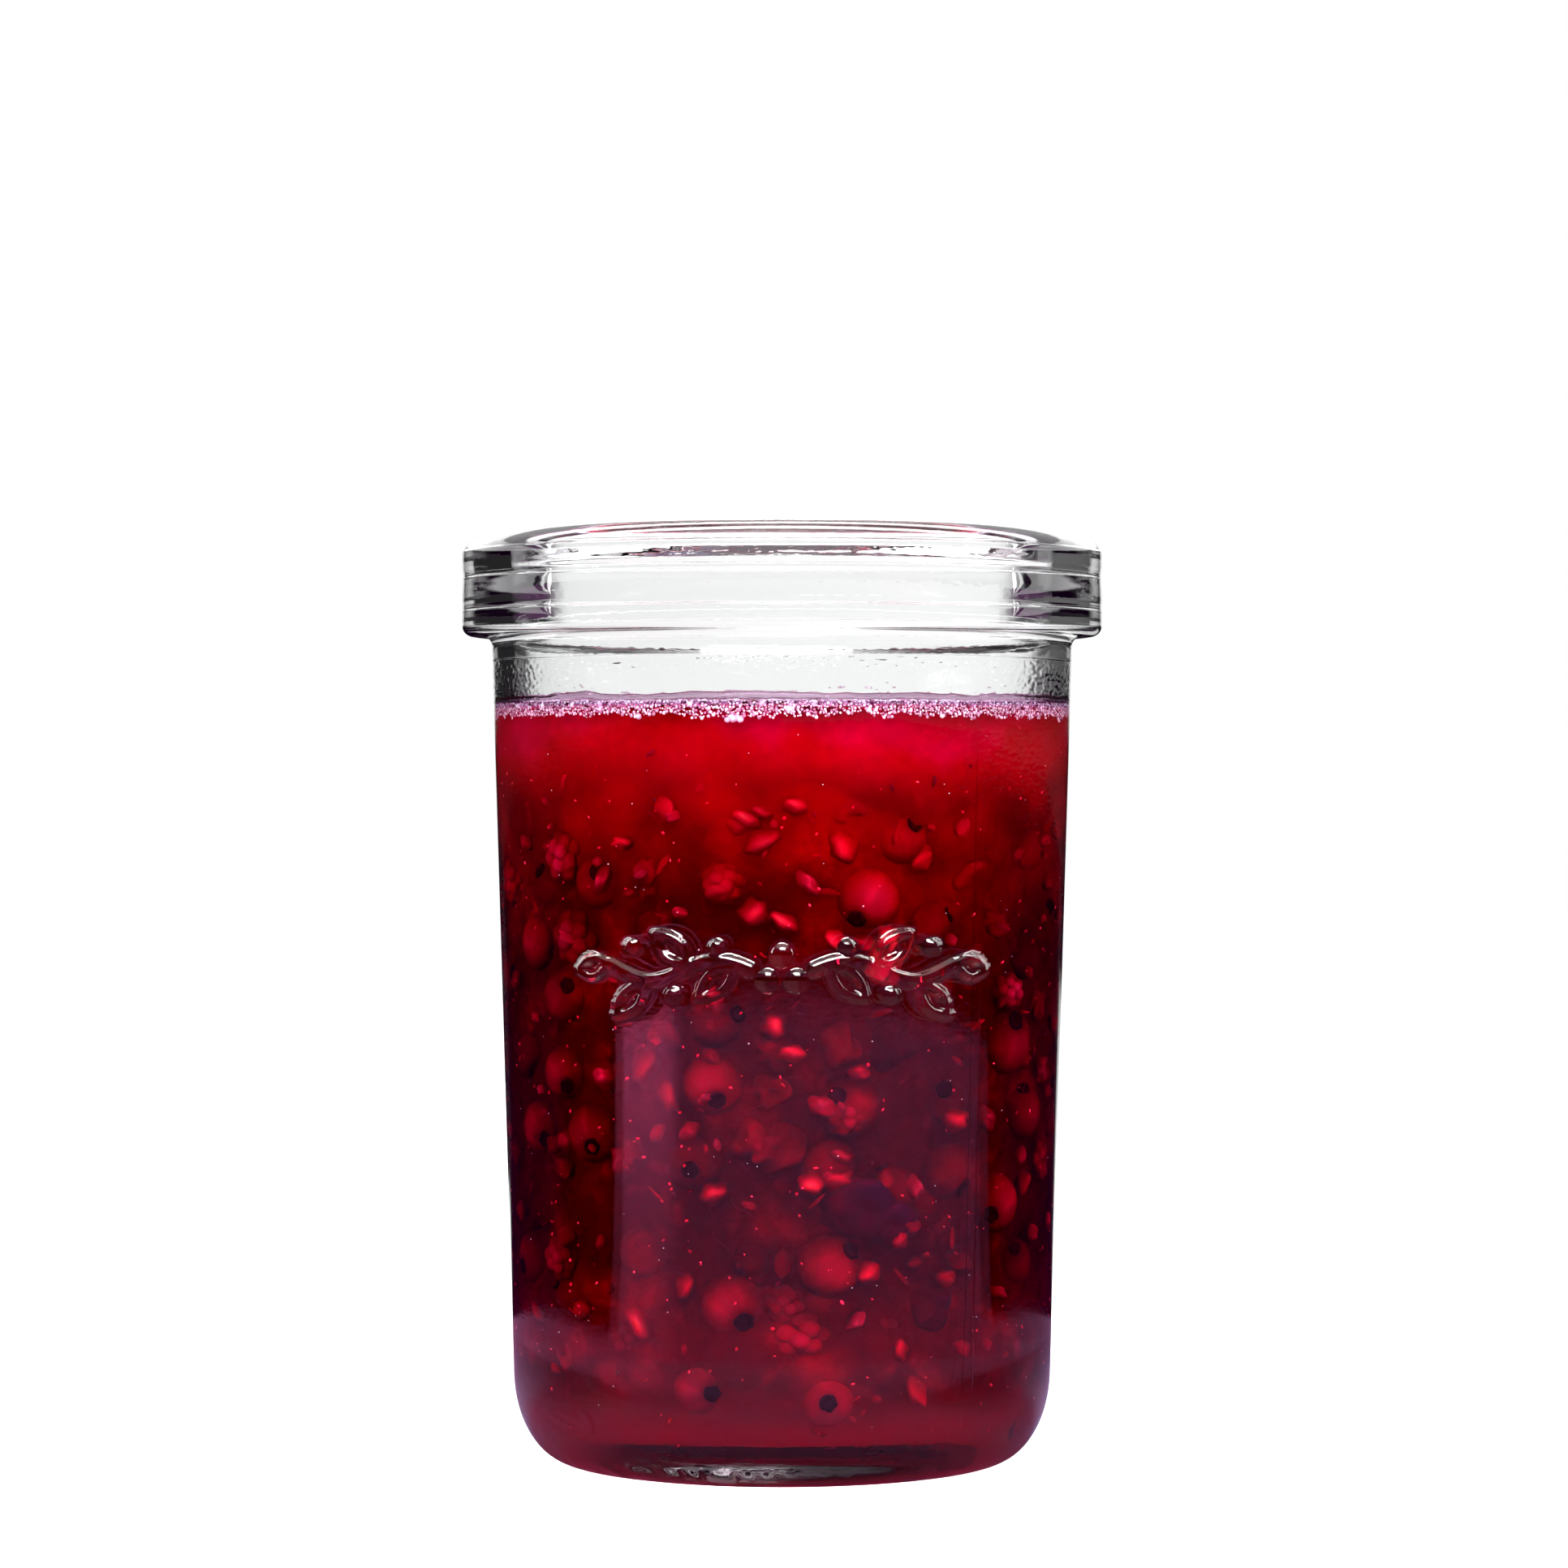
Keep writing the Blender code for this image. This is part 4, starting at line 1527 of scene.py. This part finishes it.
# %% Pulp shreds
shreds = round_the_jar(150, 47, (8, 104), (0.5, 1.5), (0.1, 1.8))
scatter("pulp_shreds", shreds, lump_shape("shred", 2, (1.2, 0.32, 0.22), 0.7, 8.0), pulp_red,
        0.3, 13)

# %% [markdown]
# ## Seeds, threads, scraps and pinprick bubbles
# The smallest things give the compote its scale: pips, threads of skin, dark scraps, and bubbles as
# small as a pinprick that cling to the glass and shine almost white.

# %% Seeds and threads
seeds = round_the_jar(620, 53, (7, 110), (0.16, 0.42), (0.05, 1.6))
scatter("seeds", seeds, lump_shape("seed", 1, (0.7, 0.5, 1.0), 0.2, 3.0), seed_gold, 0.15, 15)
threads = round_the_jar(130, 59, (9, 106), (1.2, 3.4), (0.1, 0.7), outwards=3.0)
scatter("threads", threads, fibre_shape("thread"), thread_pink, 0.3, 17)

# %% Dark scraps
scraps = round_the_jar(80, 61, (10, 106), (0.3, 0.9), (0.1, 0.8), outwards=1.5)
scatter("dark_scraps", scraps, lump_shape("scrap", 1, (1.0, 0.55, 0.25), 0.5, 6.0), scrap_dark,
        0.3, 19)

# %% Pinprick bubbles
bubble_white, tree, shader, output = new_material("bubble_white", {
    "Roughness": 0.2, "Specular IOR Level": 0.6,
})
share = (attribute(tree, "tone") + noise_pattern(place(tree), 2500.0, 1.0)) * 0.5
share = ramp(share, 0.25, 0.75)
fill(shader, {"Base Color": mix_colour(share, (0.30, 0.14, 0.22), (0.74, 0.86, 0.86))})
let_lamps_through(tree, shader, output)
pricks = round_the_jar(170, 67, (8, 110), (0.05, 0.12), (0.02, 0.06))
scatter("pinprick_bubbles", pricks, lump_shape("prick", 1, (1, 1, 1), 0.0, 0.0), bubble_white,
        0.0, 21)

# %% [markdown]
# ## Froth
# Boiled fruit throws up froth, and in the jar it gathers along the wall: a band of tiny bubbles, four
# or five rows deep, with a ragged lower edge and a few larger bubbles. Each bubble rests against the
# glass. More of them float on the top, in a narrow ring.

# %% Froth bubbles
FROTH_TOP, FROTH_LOW = 113.15, 111.2  # mm
ROW_STEP, ROW_SHAKE, COLUMN_STEP = 0.34, 0.14, (2.05, 2.45)  # mm, mm, times a bubble's radius
FROTH_RADIUS = 40 * MM  # about where the wall is, to step round it
FULLNESS = 0.93  # the share of places that hold a bubble
BUBBLES = (0.15, 0.17, 0.19, 0.21, 0.24, 0.30)
FLOATING_BUBBLES = (0.22, 0.3, 0.38, 0.5, 0.65)
CLUMPS = (  # larger bubbles on the front: across, height and radius, mm
    (-7.3, 111.3, 0.8), (-6.3, 111.1, 0.6), (-8.2, 111.0, 0.5), (1.1, 112.6, 0.7),
    (-21.5, 111.5, 0.5), (24.0, 111.6, 0.45), (13.0, 112.5, 0.5),
)
chance = random.Random(71)
froth = []
z = FROTH_TOP
while z > FROTH_LOW - 0.9:
    turn = chance.uniform(0, 0.02)
    while turn < math.tau:
        size = chance.choice(BUBBLES)
        ragged = noise.noise(Vector((9 * math.cos(turn), 9 * math.sin(turn), 0.5)))
        ragged += 0.8 * noise.noise(Vector((37 * math.cos(turn), 37 * math.sin(turn), 2.5)))
        height = z + chance.uniform(-ROW_SHAKE, ROW_SHAKE)
        if height > FROTH_LOW - 0.7 * ragged and chance.random() < FULLNESS:
            radius = cavity_radius(height * MM) - (0.7 * size + chance.uniform(0.0, 0.06)) * MM
            outward = outward_at(turn)
            froth.append((outward * radius + Vector((0, 0, height * MM)), size * MM, outward))
        turn += chance.uniform(*COLUMN_STEP) * size * MM / FROTH_RADIUS
    z -= ROW_STEP
for across, height, size in CLUMPS:
    spot = behind_wall(across, height, 0.62 * size)
    froth.append((spot, size * MM, Vector((spot.x, spot.y, 0)).normalized()))
print(len(froth), "froth bubbles against the wall")
scatter("froth_bubbles", froth, lump_shape("bubble", 1, (1, 1, 0.7), 0.0, 0.0), bubble_white,
        0.04, 23)

# %% Froth on the top
FLOATING, RING_WIDTH, RING_GAP = 1200, 1.3, 0.6  # how many, and mm from the wall inwards
chance = random.Random(73)
floating = []
for _ in range(FLOATING):
    turn = chance.uniform(0, math.tau)
    inward = abs(chance.gauss(0, RING_WIDTH)) + RING_GAP
    size = chance.choice(FLOATING_BUBBLES)
    radius = inner_radius(LEVEL) - inward * MM
    z = SURFACE - 0.15 * size * MM
    spot = Vector((radius * math.sin(turn), -radius * math.cos(turn), z))
    floating.append((spot, size * MM, (0.0, 0.0, 1.0)))
top_froth = scatter("froth_on_top", floating, lump_shape("float", 2, (1, 1, 0.8), 0.0, 0.0),
                    bubble_white, 0.05, 25)
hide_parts("froth_collar")

low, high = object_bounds()
